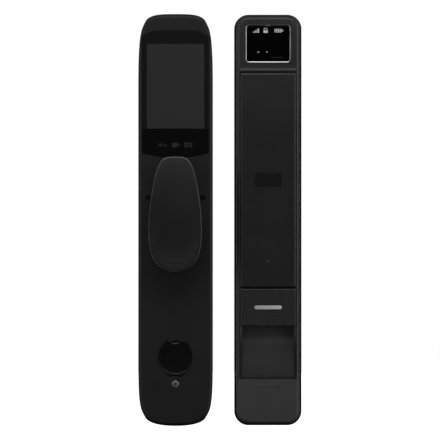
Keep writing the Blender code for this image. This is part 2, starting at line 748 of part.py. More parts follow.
def indoor_body(black):
    body = piece("indoor_body", indoor_shell(-2.2), black)
    front = (IN_FRONT - 3.0, IN_FRONT_INSIDE + 1.5)
    wide = (IN_X - 50.0, IN_X + 50.0)
    half_width, half_height = WINDOW_HALF
    window = rounded_rect(
        half_width + GAP, WINDOW_Z - half_height - GAP, WINDOW_Z + half_height + GAP, WINDOW_CORNER_R
    )
    opening = rounded_rect(PANEL_HALF_WIDTH + GAP, SCOOP_Z[0] - GAP, PANEL_Z[1] + GAP, 1.5)
    cut(
        body,
        box(wide, (-50.0, IN_RIM_FRONT - GAP), (-HALF_HEIGHT - 9, COVER_SPLIT_Z)),
        prism(shifted(window, IN_X), *front),
        prism(shifted(opening, IN_X), *front),
    )
    section = [(IN_FRONT - height, z) for height, z in (*RIB, RIB_FOOT, (RIB_FOOT[0], RIB[0][1]))]
    join(body, side_prism(section, IN_X - PANEL_HALF_WIDTH, IN_X + PANEL_HALF_WIDTH))
    return body


def battery_cover(on, black):
    """The lower end of the shell, which slides down over the rim."""
    cover = piece("battery_cover", indoor_shell(COVER_BACK + 2.0), black, on)
    wide = (IN_X - 50.0, IN_X + 50.0)
    cut(
        cover,
        box(wide, (-50.0, 10.0), (COVER_SPLIT_Z - 0.4, HALF_HEIGHT + 9)),
        box(wide, (COVER_BACK, 10.0), (-HALF_HEIGHT - 9, HALF_HEIGHT)),
    )
    ridge = rounded_rect(14.5, -174.3, -171.7, 1.2)
    join(cover, prism(shifted(ridge, IN_X), IN_FRONT - 0.7, IN_FRONT + 0.6))


def scoop_profile():
    """The scoop's section as (y, z): deep behind the flap, rising to the front at its lower end."""
    low, high = SCOOP_Z
    face = [(-17.0, high - 0.6), (-17.0, -112.0), (-19.5, -128.0), (-24.6, -146.0), (-28.4, -158.0)]
    face.append((-29.4, low))
    back = [(-27.9, low), (-26.8, -158.0), (-23.4, -147.5), (-18.2, -129.0), (-15.4, -112.0)]
    back.append((-15.4, high))
    return face, back


def finger_scoop(plastic):
    """A curved tray below the flap, with side walls and an ear for each end of the flap's pin."""
    face, back = scoop_profile()
    half = PANEL_HALF_WIDTH - GAP
    low, high = SCOOP_Z
    body = [(-29.4, low), (-29.4, high)] + back[::-1]
    tray = piece("finger_scoop", side_prism(body, IN_X - half, IN_X + half), plastic)
    hollow = [(-40.0, low + 1.2), (-40.0, high - 1.4), (-17.0, high - 1.4)]
    hollow += face[1:-1] + [(-29.0, low + 1.2)]
    cut(tray, side_prism(hollow, IN_X - half + 1.5, IN_X + half - 1.5))
    pin_y, pin_z = FLAP_PIVOT
    for side in (-1, 1):
        inner, outer = IN_X + side * EAR_IN, IN_X + side * half
        join(tray, box((inner, outer), (pin_y + 3.0, -26.4), (high - 4.0, pin_z + 1.8)))
        join(tray, box((inner, outer), (pin_y + 3.0, pin_y - 0.6), (pin_z - 3.0, pin_z + 1.8)))
    cut(tray, rod((IN_X - 27.9, IN_X + 27.9), pin_y, pin_z, FLAP_PIN_R + PIN_PLAY, 12))


def flap_pieces(on, black, bright, steel):
    """The pull flap with its hinge lugs, its plain badge and the crank lever behind it."""
    pin_y, pin_z = FLAP_PIVOT
    low, high = FLAP_Z
    tile = rounded_rect(FLAP_HALF_WIDTH, low, high, 1.0, 2)
    flap = piece(
        "pull_flap",
        loft(
            [
                at_y(shifted(inset(tile, 0.8), IN_X), FLAP_FRONT),
                at_y(shifted(tile, IN_X), FLAP_FRONT + 0.7),
                at_y(shifted(tile, IN_X), FLAP_BACK),
            ]
        ),
        black,
        on,
    )
    relief = (FLAP_BACK - FLAP_RELIEF, FLAP_BACK + 1.0)
    for side in (-1, 1):
        inner, outer = IN_X + side * 20.0, IN_X + side * 24.0
        join(flap, box((inner, outer), (FLAP_BACK - 0.6, pin_y + 1.9), (pin_z - 4.0, pin_z + 1.2)))
        ear = (IN_X + side * (EAR_IN - GAP), IN_X + side * (FLAP_HALF_WIDTH + 1.0))
        cut(flap, box(ear, relief, (pin_z - 1.7, high + 1.0)))
    half_width, half_height = BADGE_HALF
    badge = rounded_rect(half_width, BADGE_Z - half_height, BADGE_Z + half_height, half_height - 0.1)
    badge = shifted(badge, IN_X)
    cut(
        flap,
        rod((IN_X - 30, IN_X + 30), pin_y, pin_z, FLAP_PIN_R + PIN_PLAY, 12),
        rod((IN_X - 18.8, IN_X - 11.2), pin_y, pin_z, 2.5, 12),
        prism(inset(badge, -GAP), FLAP_FRONT - 1.0, FLAP_FRONT + 0.8),
    )
    piece("flap_badge", prism(badge, FLAP_FRONT - 0.2, FLAP_FRONT + 0.5), bright, on)

    tip_y = -11.4
    lever = piece(
        "flap_lever",
        side_prism(
            [
                (FLAP_BACK + GAP, pin_z - 12.0),
                (FLAP_BACK + GAP, pin_z - 5.0),
                (pin_y + 4.0, pin_z - 3.0),
                (tip_y, SPINDLE_Z + 4.4),
                (tip_y, SPINDLE_Z - 4.4),
                (-14.6, SPINDLE_Z - 4.4),
                (-16.5, pin_z - 12.0),
            ],
            IN_X + 2.0,
            IN_X + 12.0,
        ),
        steel,
        on,
    )
    cut(lever, box((IN_X + 3.2, IN_X + 10.8), (-5.0, -16.4), (SPINDLE_Z - 2.6, SPINDLE_Z + 2.6)))


def battery_pieces(looks):
    """The open tray with four upright cells between two contact plates."""
    low, high = CELL_Z
    floor_y, front_y = -7.0, -24.4
    outline = shifted(rounded_rect(30.4, low - 2.7, high + 2.4, 4.4), IN_X)
    tray = piece("battery_tray", prism(outline, floor_y, front_y), looks["plastic"])
    hollow = shifted(rounded_rect(29.2, low - 1.5, high + 1.4, 2.5), IN_X)
    cut(tray, prism(hollow, floor_y - 1.5, front_y - 5.0))
    tip = 2.6
    profile = [(CELL_R, low), (CELL_R, high - 2.2), (tip, high - 1.4), (tip, high)]
    for i in range(4):
        x = IN_X + (i - 1.5) * CELL_PITCH
        piece(f"battery_cell_{i + 1}", side_turned(x, CELL_Y, profile), looks["cell"])
    for name, z in (("lower_contact_plate", low - 0.7), ("upper_contact_plate", high + 0.7)):
        piece(name, box((IN_X - 24.0, IN_X + 24.0), (-9.5, -22.5), (z - 0.3, z + 0.3)), looks["steel"])


def indoor_unit(looks):
    screws = [(IN_X + x, z) for x, z in IN_SCREWS]
    base = hoop(indoor_outline(), indoor_outline(IN_RIM_WALL), RIM_BACK, IN_RIM_FRONT)
    piece("indoor_base", base, looks["black"])
    body = indoor_body(looks["black"])
    join(body, *[turned(x, z, [(3.0, -2.4), (3.0, -12.9)], 12) for x, z in screws])
    for x, z in screws:
        side = 1 if z > 0 else -1
        join(body, box((x - 1.2, x + 1.2), (-2.4, -12.9), (z, side * (HALF_HEIGHT - IN_BODY_INSET - 1.0))))
    cut(body, *[turned(x, z, [(SCREW_PILOT_R, -1.0), (SCREW_PILOT_R, -11.0)], 12) for x, z in screws])
    back_plate("indoor_back_plate", indoor_outline(IN_GASKET_WIDTH + 0.2), IN_X, screws, looks["steel"])
    gasket = hoop(indoor_outline(0.3), indoor_outline(IN_GASKET_WIDTH), 0.0, RIM_BACK + GAP)
    piece("indoor_gasket", gasket, looks["rubber"])
    for i, (x, z) in enumerate(screws):
        screw(f"indoor_screw_{i + 1}", x, z, looks["steel"])

    half_width, half_height = WINDOW_HALF
    frame = shifted(
        rounded_rect(half_width, WINDOW_Z - half_height, WINDOW_Z + half_height, WINDOW_CORNER_R), IN_X
    )
    inner = inset(frame, WINDOW_LINE)
    piece("window_frame", hoop(frame, inner, IN_FRONT - 0.5, IN_FRONT + 2.0), looks["bright"])
    piece("window_glass", prism(inset(inner, GAP), IN_FRONT - 0.1, IN_FRONT + 1.2), looks["glass"])
    display = shifted(rounded_rect(20.0, WINDOW_Z - 16.0, WINDOW_Z + 16.0, 2.0), IN_X)
    piece("status_display", prism(display, IN_FRONT + 1.6, -25.2), looks["display"])
    piece("indoor_board", box((IN_X - 26.0, IN_X + 26.0), (-23.6, -22.0), (40.0, 200.0)), looks["board"])

    panel_x = (IN_X - PANEL_HALF_WIDTH, IN_X + PANEL_HALF_WIDTH)
    panel_outline = shifted(rounded_rect(PANEL_HALF_WIDTH, *PANEL_Z, 1.2, 2), IN_X)
    panel = piece(
        "front_panel",
        loft(
            [
                at_y(inset(panel_outline, 0.9), PANEL_FRONT),
                at_y(panel_outline, PANEL_FRONT + 0.8),
                at_y(panel_outline, IN_FRONT_INSIDE),
            ]
        ),
        looks["black"],
    )
    sensor_x = (IN_X - SENSOR_HALF_WIDTH, IN_X + SENSOR_HALF_WIDTH)
    cut(
        panel,
        box((sensor_x[0] - 0.2, sensor_x[1] + 0.2), (-35.0, -25.0), (SENSOR_Z[0] - 0.2, SENSOR_Z[1] + 0.2)),
        turned(IN_X, LAMP_Z, [(LAMP_R + 0.2, -35.0), (LAMP_R + 0.2, -25.0)], 16),
    )
    piece("sensor_window", box(sensor_x, (PANEL_FRONT + 0.2, -28.0), SENSOR_Z), looks["gloss"])
    piece("status_lamp", turned(IN_X, LAMP_Z, [(LAMP_R, -30.9), (LAMP_R, -27.0)], 16), looks["lamp"])

    finger_scoop(looks["plastic"])
    on_flap = pivot("pull_flap_axis", (IN_X, *FLAP_PIVOT))
    on_hub = pivot("indoor_spindle_axis", (IN_X, 0.0, SPINDLE_Z))
    on_cover = pivot("battery_cover_axis", (IN_X, IN_FRONT, COVER_SPLIT_Z))
    flap_pieces(on_flap, looks["black"], looks["bright"], looks["steel"])
    pin_y, pin_z = FLAP_PIVOT
    piece("flap_pin", rod((IN_X - 27.6, IN_X + 27.6), pin_y, pin_z, FLAP_PIN_R, 12), looks["steel"])
    spring = coil((IN_X - 18.0, IN_X - 12.0), pin_y, pin_z, 1.5, 0.3, 5, 10, 5)
    piece("flap_spring", spring, looks["spring"])
    spindle_hub("indoor_spindle_hub", IN_X, IN_CRANK_R, -15.6, on_hub, looks["steel"])
    hub_bearing("indoor_hub_bearing", IN_X, looks["steel"])
    battery_pieces(looks)
    battery_cover(on_cover, looks["black"])


def main():
    for old in list(bpy.data.objects):
        bpy.data.objects.remove(old, do_unlink=True)
    looks = {
        "black": finish("black_coating", (0.012, 0.012, 0.012), 0.45),
        "handle": finish("handle_coating", (0.014, 0.014, 0.014), 0.40),
        "gloss": finish("gloss_black", (0.006, 0.006, 0.006), 0.12),
        "glass": finish("dark_glass", (0.005, 0.005, 0.006), 0.05),
        "display": finish("unlit_display", (0.020, 0.020, 0.021), 0.25),
        "bright": finish("bright_trim", (0.45, 0.45, 0.46), 0.25, 1.0),
        "plastic": finish("black_plastic", (0.018, 0.018, 0.018), 0.55),
        "rubber": finish("gasket_rubber", (0.010, 0.010, 0.010), 0.85),
        "steel": finish("zinc_plated_steel", (0.50, 0.50, 0.49), 0.35, 1.0),
        "spring": finish("spring_steel", (0.35, 0.35, 0.36), 0.30, 1.0),
        "brass": finish("brass", (0.65, 0.48, 0.22), 0.30, 1.0),
        "board": finish("circuit_board", (0.02, 0.10, 0.04), 0.50),
        "cell": finish("cell_sleeve", (0.08, 0.09, 0.10), 0.35),
        "lamp": finish("lamp_lens", (0.05, 0.05, 0.05), 0.20),
    }
    outdoor_unit(looks)
    indoor_unit(looks)


main()
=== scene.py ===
"""The looks of the push-pull keypad smart lock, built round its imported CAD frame.

The frame gives every place: the outdoor unit stands round X = 0, the indoor unit to its right,
both with their backs on Y = 0 and their fronts facing -Y. Dimensions here are in millimetres,
and MM turns them into metres where a mesh is made.
"""

import math

import bmesh
import bpy
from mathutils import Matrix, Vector


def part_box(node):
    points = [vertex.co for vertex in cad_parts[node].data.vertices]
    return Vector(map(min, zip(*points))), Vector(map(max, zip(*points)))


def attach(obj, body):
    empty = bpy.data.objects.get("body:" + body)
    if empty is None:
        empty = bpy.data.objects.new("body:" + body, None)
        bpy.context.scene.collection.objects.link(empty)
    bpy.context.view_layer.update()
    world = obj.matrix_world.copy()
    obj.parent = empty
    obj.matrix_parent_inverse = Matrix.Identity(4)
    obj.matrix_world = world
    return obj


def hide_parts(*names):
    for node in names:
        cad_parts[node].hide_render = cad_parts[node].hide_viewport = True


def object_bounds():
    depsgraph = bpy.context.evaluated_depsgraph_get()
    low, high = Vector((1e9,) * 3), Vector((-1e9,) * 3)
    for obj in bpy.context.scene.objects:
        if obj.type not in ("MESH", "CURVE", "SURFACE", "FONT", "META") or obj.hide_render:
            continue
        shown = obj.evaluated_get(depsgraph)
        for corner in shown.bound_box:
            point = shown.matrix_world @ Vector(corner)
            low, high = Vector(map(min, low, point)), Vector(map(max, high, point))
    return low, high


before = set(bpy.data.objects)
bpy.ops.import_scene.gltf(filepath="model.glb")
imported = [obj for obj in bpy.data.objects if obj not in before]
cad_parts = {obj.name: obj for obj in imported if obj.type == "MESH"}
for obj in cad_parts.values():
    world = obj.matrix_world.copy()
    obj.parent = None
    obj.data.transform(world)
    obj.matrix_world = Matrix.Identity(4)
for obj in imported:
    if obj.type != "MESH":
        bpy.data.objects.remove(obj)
cad_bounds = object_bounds()

MM = 0.001
SEAM = 0.3  # between neighbours that don't move on each other
LIP = 0.35  # rounding of an opening's edge
SHARP = math.radians(34)  # edges steeper than this stay crisp
PAST = 50.0  # how far a cutting block reaches past what it cuts


class Box:
    """A CAD node's box at rest, in millimetres."""

    def __init__(self, node):
        low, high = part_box(node)
        self.left, self.front, self.low = (c / MM for c in low)
        self.right, self.back, self.high = (c / MM for c in high)
        self.x = (self.left + self.right) / 2
        self.y = (self.front + self.back) / 2
        self.z = (self.low + self.high) / 2
        self.half_width = (self.right - self.left) / 2
        self.half_height = (self.high - self.low) / 2


# ---------------------------------------------------------------- outlines, as (x, z) points

# Corners of the outdoor outline: two Bezier arcs that meet at a knee.
# knee is (from the centre line, from the end), lean is the slope there in radians,
# pulls are the handle lengths along the curve, length is where the straight side begins.
CORNER_TOP = {"knee": (31.8, 8.4), "lean": 1.14, "pulls": (15.3, 9.2, 7.7, 55.0), "length": 72.0}
CORNER_LOW = {"knee": (31.5, 8.7), "lean": 1.06, "pulls": (16.5, 6.6, 8.6, 40.0), "length": 58.0}

PETAL_WIDEST = 43.6  # above its lower end
PETAL_KNEE = (17.4, 8.6)  # from the centre line, below the top
PETAL_LEAN = 1.11
PETAL_PULLS = (11.1, 7.5, 13.1, 17.6, 25.1, 21.8)
BOW = 9.0  # how far the handle's top end falls back
BOW_LENGTH = 61.0  # below its top, where that begins

GLASS_FALL = 7.4  # from the top edge's middle to its ends
GLASS_SAG = 5.0  # of the lower edge's middle under its ends


def bezier(start, pull_a, pull_b, end, steps):
    """Points along a cubic Bezier, without its last point."""
    points = []
    for i in range(steps):
        t = i / steps
        a, b, c, d = (1 - t) ** 3, 3 * (1 - t) ** 2 * t, 3 * (1 - t) * t * t, t**3
        points.append(
            tuple(a * s + b * p + c * q + d * e for s, p, q, e in zip(start, pull_a, pull_b, end))
        )
    return points


def bar_corner(corner, half_width):
    """From the middle of one end, (0, 0), round to the straight side, as (out, down) points."""
    kx, kd = corner["knee"]
    along = (math.cos(corner["lean"]), math.sin(corner["lean"]))
    first, before, after, last = corner["pulls"]
    length = corner["length"]
    end_arc = bezier(
        (0, 0), (first, 0), (kx - before * along[0], kd - before * along[1]), (kx, kd), 24
    )
    side_arc = bezier(
        (kx, kd),
        (kx + after * along[0], kd + after * along[1]),
        (half_width, length - last),
        (half_width, length),
        24,
    )
    return end_arc + side_arc + [(half_width, length)]


def outdoor_outline(unit):
    """The whole outdoor outline, from the middle of its lower end round to the right."""
    top = [(x, unit.high - d) for x, d in bar_corner(CORNER_TOP, unit.half_width)]
    low = [(x, unit.low + d) for x, d in bar_corner(CORNER_LOW, unit.half_width)]
    left_top = [(-x, z) for x, z in top]
    left_low = [(-x, z) for x, z in low]
    return low + top[::-1] + left_top[1:] + left_low[:0:-1]


def petal_outline(unit):
    """The handle's outline from its top centre: narrow there, widest below the middle."""
    out_0, out_1, out_2, out_3, out_4, out_5 = PETAL_PULLS
    kx, kz = PETAL_KNEE[0], unit.high - PETAL_KNEE[1]
    along = (math.cos(PETAL_LEAN), -math.sin(PETAL_LEAN))
    wide, wide_z = unit.half_width, unit.low + PETAL_WIDEST
    right = bezier(
        (0, unit.high), (out_0, unit.high), (kx - out_1 * along[0], kz - out_1 * along[1]), (kx, kz), 14
    )
    right += bezier(
        (kx, kz), (kx + out_2 * along[0], kz + out_2 * along[1]), (wide, wide_z + out_3), (wide, wide_z), 20
    )
    right += bezier((wide, wide_z), (wide, wide_z - out_4), (out_5, unit.low), (0, unit.low), 24)
    left = [(-x, z) for x, z in right[1:]]
    return [right[0]] + left + [(0, unit.low)] + right[:0:-1]


def glass_outline(unit, corner=1.6):
    """Straight sides, a top edge that falls at its ends, a sagging lower edge, small round corners."""
    half = unit.half_width
    reach = 1 - corner / half
    steps = [reach * (i / 24 - 1) for i in range(49)]
    points = []
    for turn, end, rise, power in ((1, unit.low, GLASS_SAG, 2.0), (-1, unit.high, -GLASS_FALL, 4.5)):
        side = end + rise
        edge = [(turn * half * t, end + rise * abs(t) ** power) for t in steps]
        start, stop = (-turn * half, side + turn * corner), (turn * half, side + turn * corner)
        points += bezier(start, (start[0], side), (start[0], side), edge[0], 6) + edge[:-1]
        points += bezier(edge[-1], (stop[0], side), (stop[0], side), stop, 6) + [stop]
    return points


def rounded_rect(half_width, low, high, radius, x=0.0, steps=10):
    """A rectangle with round corners, between two heights and centred on x."""
    points = []
    middles = (
        (half_width - radius, high - radius, 0),
        (-half_width + radius, high - radius, 90),
        (-half_width + radius, low + radius, 180),
        (half_width - radius, low + radius, 270),
    )
    for middle_x, z, start in middles:
        for i in range(steps + 1):
            angle = math.radians(start + 90 * i / steps)
            points.append((x + middle_x + radius * math.cos(angle), z + radius * math.sin(angle)))
    return points


def circle(radius, x=0.0, z=0.0, steps=96):
    turns = [2 * math.pi * i / steps for i in range(steps)]
    return [(x + radius * math.cos(a), z + radius * math.sin(a)) for a in turns]


def inset(points, distance):
    """The outline moved inwards, each point along the bisector of its two edges."""
    moved = []
    count = len(points)
    for i, (x, z) in enumerate(points):
        before = Vector((x - points[i - 1][0], z - points[i - 1][1])).normalized()
        after_x, after_z = points[(i + 1) % count]
        after = Vector((after_x - x, after_z - z)).normalized()
        normal = Vector((-before.y - after.y, before.x + after.x)).normalized()
        reach = distance / max(0.5, normal.dot(Vector((-after.y, after.x))))
        moved.append((x + normal.x * reach, z + normal.y * reach))
    return moved


def shape(points):
    """An outline as a function of how far it is moved inwards."""
    return lambda reach=0.0: inset(points, reach)


def rect(half_width, low, high, radius, x=0.0, steps=10):
    """The same for a rounded rectangle, whose corners stay clean when it shrinks."""
    return lambda reach=0.0: rounded_rect(
        half_width - reach, low + reach, high - reach, max(radius - reach, 0.05), x, steps
    )


def disc_shape(radius, x=0.0, z=0.0, steps=96):
    """The same for a circle."""
    return lambda reach=0.0: circle(radius - reach, x, z, steps)


def quarter(width, depth, steps=8):
    """An elliptical edge from the front face to the side, as (inset, depth) pairs."""
    angles = [math.radians(90 * i / steps) for i in range(steps, -1, -1)]
    return [(width * (1 - math.cos(a)), depth * (1 - math.sin(a))) for a in angles]


# ---------------------------------------------------------------- solids, as (corners, faces)


def loft(rings, closed=False):
    """Skin over rings: capped at both ends, or closed into a hoop. An end may be one point."""
    corners = [point for ring in rings for point in ring]
    faces = []
    starts = []
    total = 0
    for ring in rings:
        starts.append(total)
        total += len(ring)
    spans = len(rings) if closed else len(rings) - 1
    for span in range(spans):
        following = (span + 1) % len(rings)
        a, b = starts[span], starts[following]
        near, far = len(rings[span]), len(rings[following])
        for i in range(max(near, far)):
            j = (i + 1) % max(near, far)
            if near == 1:
                faces.append((a, b + j, b + i))
            elif far == 1:
                faces.append((a + i, a + j, b))
            else:
                faces.append((a + i, a + j, b + j, b + i))
    if not closed:
        for ring, start in ((rings[0], 0), (rings[-1], starts[-1])):
            if len(ring) > 1:
                faces.append(tuple(range(start, start + len(ring))))
    return corners, faces


def at_y(points, y, lift=None):
    """The outline as a ring at depth y, bent along Z by lift where given."""
    return [(x, y + (lift(z) if lift else 0.0), z) for x, z in points]


def slab(outline, front, back, edge, depth=None, steps=5):
    """A plate whose front edge is rounded over."""
    rings = [at_y(outline(i), front + d) for i, d in quarter(edge, depth or edge, steps)]
    return loft(rings + [at_y(outline(), back)])


def pocket(outline, front, back, lip=LIP):
    """What to cut away for a hole or a recess, with a rounded lip at the front face."""
    rings = [at_y(outline(-lip), front - 3.0)]
    rings += [at_y(outline(-i), front + d) for i, d in quarter(lip, lip, 3)]
    return loft(rings + [at_y(outline(), back)])


def hoop(outer, profile, lift=None):
    """A ring along the outline, from (inset, y) pairs round its section."""
    return loft([at_y(outer(reach), y, lift) for reach, y in profile], closed=True)


def side_prism(profile, x_a, x_b):
    """A (y, z) profile drawn out along X."""
    return loft([[(x, y, z) for y, z in profile] for x in (x_a, x_b)])


def block(x, y, z):
    """A block between the two values of each axis."""
    return side_prism([(y[0], z[0]), (y[1], z[0]), (y[1], z[1]), (y[0], z[1])], x[0], x[1])


def turned(x, z, profile, steps=96):
    """A solid turned about a line along Y, from (radius, y) pairs."""
    return loft([[(x, y, z)] if r == 0 else at_y(circle(r, x, z, steps), y) for r, y in profile])


def rod(x, y, z, radius, steps=32):
    """A round bar along X between the two values of x."""
    return side_prism([(y + a, z + b) for a, b in circle(radius, steps=steps)], x[0], x[1])


def ellipsoid(centre, radii, steps=32):
    """A closed egg with its poles along Y."""
    cx, cy, cz = centre
    rx, ry, rz = radii
    rings = [[(cx, cy - ry, cz)]]
    for i in range(1, steps // 2):
        angle = math.pi * i / (steps // 2)
        wide, tall = rx * math.sin(angle), rz * math.sin(angle)
        outline = [(cx + wide * a, cz + tall * b) for a, b in circle(1.0, steps=steps)]
        rings.append(at_y(outline, cy - ry * math.cos(angle)))
    rings.append([(cx, cy + ry, cz)])
    return loft(rings)


def flat_shape(outlines, front, thick):
    """Thin plates side by side, for a printed or inlaid pictogram."""
    corners, faces = [], []
    for outline in outlines:
        more_corners, more_faces = loft([at_y(outline, front), at_y(outline, front + thick)])
        faces += [tuple(i + len(corners) for i in face) for face in more_faces]
        corners += more_corners
    return corners, faces


# ---------------------------------------------------------------- pieces


def mesh_of(name, solid):
    """A mesh in metres, with its faces turned outwards."""
    corners, faces = solid
    mesh = bpy.data.meshes.new(name)
    mesh.from_pydata([[c * MM for c in corner] for corner in corners], [], faces)
    edited = bmesh.new()
    edited.from_mesh(mesh)
    bmesh.ops.recalc_face_normals(edited, faces=edited.faces)
    edited.to_mesh(mesh)
    edited.free()
    return mesh


def piece(name, solid, look, body="root", replaces=(), cuts=(), joins=()):
    """One visible piece: its solid with others joined on and cut away, riding on a CAD body."""
    made = bpy.data.objects.new(name, mesh_of(name, solid))
    bpy.context.scene.collection.objects.link(made)
    tools = []
    for operation, solids in (("UNION", joins), ("DIFFERENCE", cuts)):
        for other in solids:
            tool = bpy.data.objects.new("tool", mesh_of("tool", other))
            bpy.context.scene.collection.objects.link(tool)
            tools.append(tool)
            step = made.modifiers.new(operation.lower(), "BOOLEAN")
            step.operation = operation
            step.solver = "EXACT"
            step.object = tool
    if tools:
        graph = bpy.context.evaluated_depsgraph_get()
        made.data = bpy.data.meshes.new_from_object(made.evaluated_get(graph))
        made.modifiers.clear()
        for tool in tools:
            bpy.data.objects.remove(tool)
    made.data.shade_smooth()
    made.data.set_sharp_from_angle(angle=SHARP)
    normals = made.modifiers.new("flat faces stay flat", "WEIGHTED_NORMAL")
    normals.keep_sharp = True
    slot, material = look
    made.data.materials.clear()
    made.data.materials.append(material)
    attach(made, body)
    if replaces:
        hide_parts(*replaces)
    return made


# ---------------------------------------------------------------- materials

CLOUDING = 0.18  # how far a coating's tone wanders either way
ZONE_EDGE = 0.25  # softness of a printed edge


class Nodes:
    """Short calls for a material's node tree, measured in the piece's own coordinates."""

    def __init__(self, name):
        self.material = bpy.data.materials.new(name)
        self.material.use_nodes = True
        self.tree = self.material.node_tree
        self.shader = self.tree.nodes["Principled BSDF"]
        self.place = self.tree.nodes.new("ShaderNodeTexCoord").outputs["Object"]

    def add(self, kind, inputs=None, **settings):
        node = self.tree.nodes.new(kind)
        for key, value in settings.items():
            setattr(node, key, value)
        for key, value in (inputs or {}).items():
            if isinstance(value, bpy.types.NodeSocket):
                self.tree.links.new(value, node.inputs[key])
            else:
                node.inputs[key].default_value = value
        return node

    def noise(self, size, detail=2.0, stretch=(1, 1, 1)):
        """Noise whose features are about size millimetres, longer where stretch is more than 1."""
        scaled = self.add(
            "ShaderNodeMapping", {"Vector": self.place, "Scale": [1 / (size * MM * s) for s in stretch]}
        )
        made = self.add("ShaderNodeTexNoise", {"Vector": scaled.outputs[0], "Scale": 1.0, "Detail": detail})
        return made.outputs["Fac"]

    def spread(self, value, low, high):
        """A noise value spread over low to high."""
        made = self.add("ShaderNodeMapRange", {"Value": value, 1: 0.3, 2: 0.7, 3: low, 4: high})
        return made.outputs["Result"]

    def math(self, operation, a, b):
        return self.add("ShaderNodeMath", {0: a, 1: b}, operation=operation).outputs[0]

    def mix(self, factor, a, b):
        made = self.add("ShaderNodeMix", {0: factor, 6: a, 7: b}, data_type="RGBA")
        return made.outputs[2]

    def set(self, **sockets):
        """Values and links for the shader, with spaces in a socket's name as underscores."""
        for key, value in sockets.items():
            socket = self.shader.inputs[key.replace("_", " ")]
            if isinstance(value, bpy.types.NodeSocket):
                self.tree.links.new(value, socket)
            else:
                socket.default_value = value

    def bump(self, height, depth, strength=1.0, under=None):
        inputs = {"Height": height, "Distance": depth * MM, "Strength": strength}
        if under:
            inputs["Normal"] = under
        return self.add("ShaderNodeBump", inputs).outputs["Normal"]


def grey(value, tint=(1.0, 1.0, 1.0)):
    """A grey of this linear value, or a tinted one."""
    return (value * tint[0], value * tint[1], value * tint[2], 1.0)


def coating(name, tone, roughness, grain=0.35, depth=0.012, specular=0.5, rise=None):
    """Sprayed powder coat: fine orange peel and faint clouding.

    rise paints light into the colour: lighter upwards, as (from Z, to Z, how many times).
    """
    made = Nodes(name)
    clouds = made.noise(38.0, 3.0)
    speckle = made.noise(0.22, 1.0)
    tint = made.math("ADD", made.spread(clouds, 0.0, 0.55), made.spread(speckle, 0.0, 0.45))
    dark, pale = tone * (1 - CLOUDING), tone * (1 + CLOUDING)
    colour = made.mix(tint, grey(dark), grey(pale))
    # Painted light: a lighter copy of the tone, blended in upwards, stands in for light that falls on the
    # upper part.
    if rise:
        low, high, times = rise
        height = made.add("ShaderNodeSeparateXYZ", {"Vector": made.place}).outputs["Z"]
        share = made.add("ShaderNodeMapRange", {"Value": height, 1: low * MM, 2: high * MM})
        light = made.mix(tint, grey(dark * times), grey(pale * times))
        colour = made.mix(share.outputs["Result"], colour, light)
    made.set(
        Base_Color=colour,
        Roughness=made.spread(made.noise(16.0, 4.0), roughness - 0.035, roughness + 0.035),
        Specular_IOR_Level=specular,
        Normal=made.bump(made.noise(grain, 2.0), depth, under=made.bump(made.noise(2.4, 2.0), 0.01)),
    )
    return made.material


def moulded(name, tone, roughness, grain=0.5, depth=0.03, tint=(1.0, 1.0, 1.0)):
    """Moulded plastic or rubber: a spark-eroded grain with slightly uneven sheen."""
    made = Nodes(name)
    cells = made.add(
        "ShaderNodeTexVoronoi",
        {"Vector": made.place, "Scale": 1 / (grain * MM)},
        feature="SMOOTH_F1",
    ).outputs["Distance"]
    clouds = made.noise(24.0, 3.0)
    made.set(
        Base_Color=made.mix(made.spread(clouds, 0.0, 1.0), grey(tone * 0.8, tint), grey(tone * 1.2, tint)),
        Roughness=made.spread(made.noise(9.0, 3.0), roughness - 0.05, roughness + 0.05),
        Normal=made.bump(cells, depth),
    )
    return made.material


def metal(name, colour, roughness, stretch=(1, 1, 1), size=0.25, depth=0.004, stain=0.06):
    """Bare metal: fine drawn or rolled lines along the stretch, and a little clouding."""
    made = Nodes(name)
    lines = made.noise(size, 3.0, stretch)
    clouds = made.noise(14.0, 4.0)
    dull = tuple(c * (1 - 2 * stain) for c in colour) + (1.0,)
    bright = tuple(min(1.0, c * (1 + stain)) for c in colour) + (1.0,)
    made.set(
        Base_Color=made.mix(made.spread(clouds, 0.0, 1.0), dull, bright),
        Metallic=1.0,
        Roughness=made.spread(
            made.math("MULTIPLY", made.math("ADD", lines, clouds), 0.5), roughness - 0.06, roughness + 0.08
        ),
        Normal=made.bump(lines, depth),
    )
    return made.material


def gloss(name, tone, roughness=0.07):
    """Polished black lacquer: near mirror, with a trace of ripple, dust and finger marks."""
    made = Nodes(name)
    smears = made.noise(11.0, 5.0, (1, 1, 2.2))
    dust = made.add("ShaderNodeMapRange", {"Value": made.noise(0.5, 0.0), 1: 0.74, 2: 0.8, 3: 0.0, 4: 1.0})
    made.set(
        Base_Color=made.mix(dust.outputs["Result"], grey(tone), grey(tone * 2.5)),
        Roughness=made.spread(smears, roughness, roughness + 0.05),
        Normal=made.bump(made.noise(18.0, 1.0), 0.006),
        Coat_Weight=0.25,
        Coat_Roughness=0.04,
    )
    return made.material


def band_mask(made, value, low, high):
    """1 between low and high millimetres, with a soft edge."""
    up = made.add(
        "ShaderNodeMapRange", {"Value": value, 1: (low - ZONE_EDGE) * MM, 2: (low + ZONE_EDGE) * MM}
    ).outputs["Result"]
    down = made.add(
        "ShaderNodeMapRange",
        {"Value": value, 1: (high - ZONE_EDGE) * MM, 2: (high + ZONE_EDGE) * MM, 3: 1.0, 4: 0.0},
    ).outputs["Result"]
    return made.math("MULTIPLY", up, down)


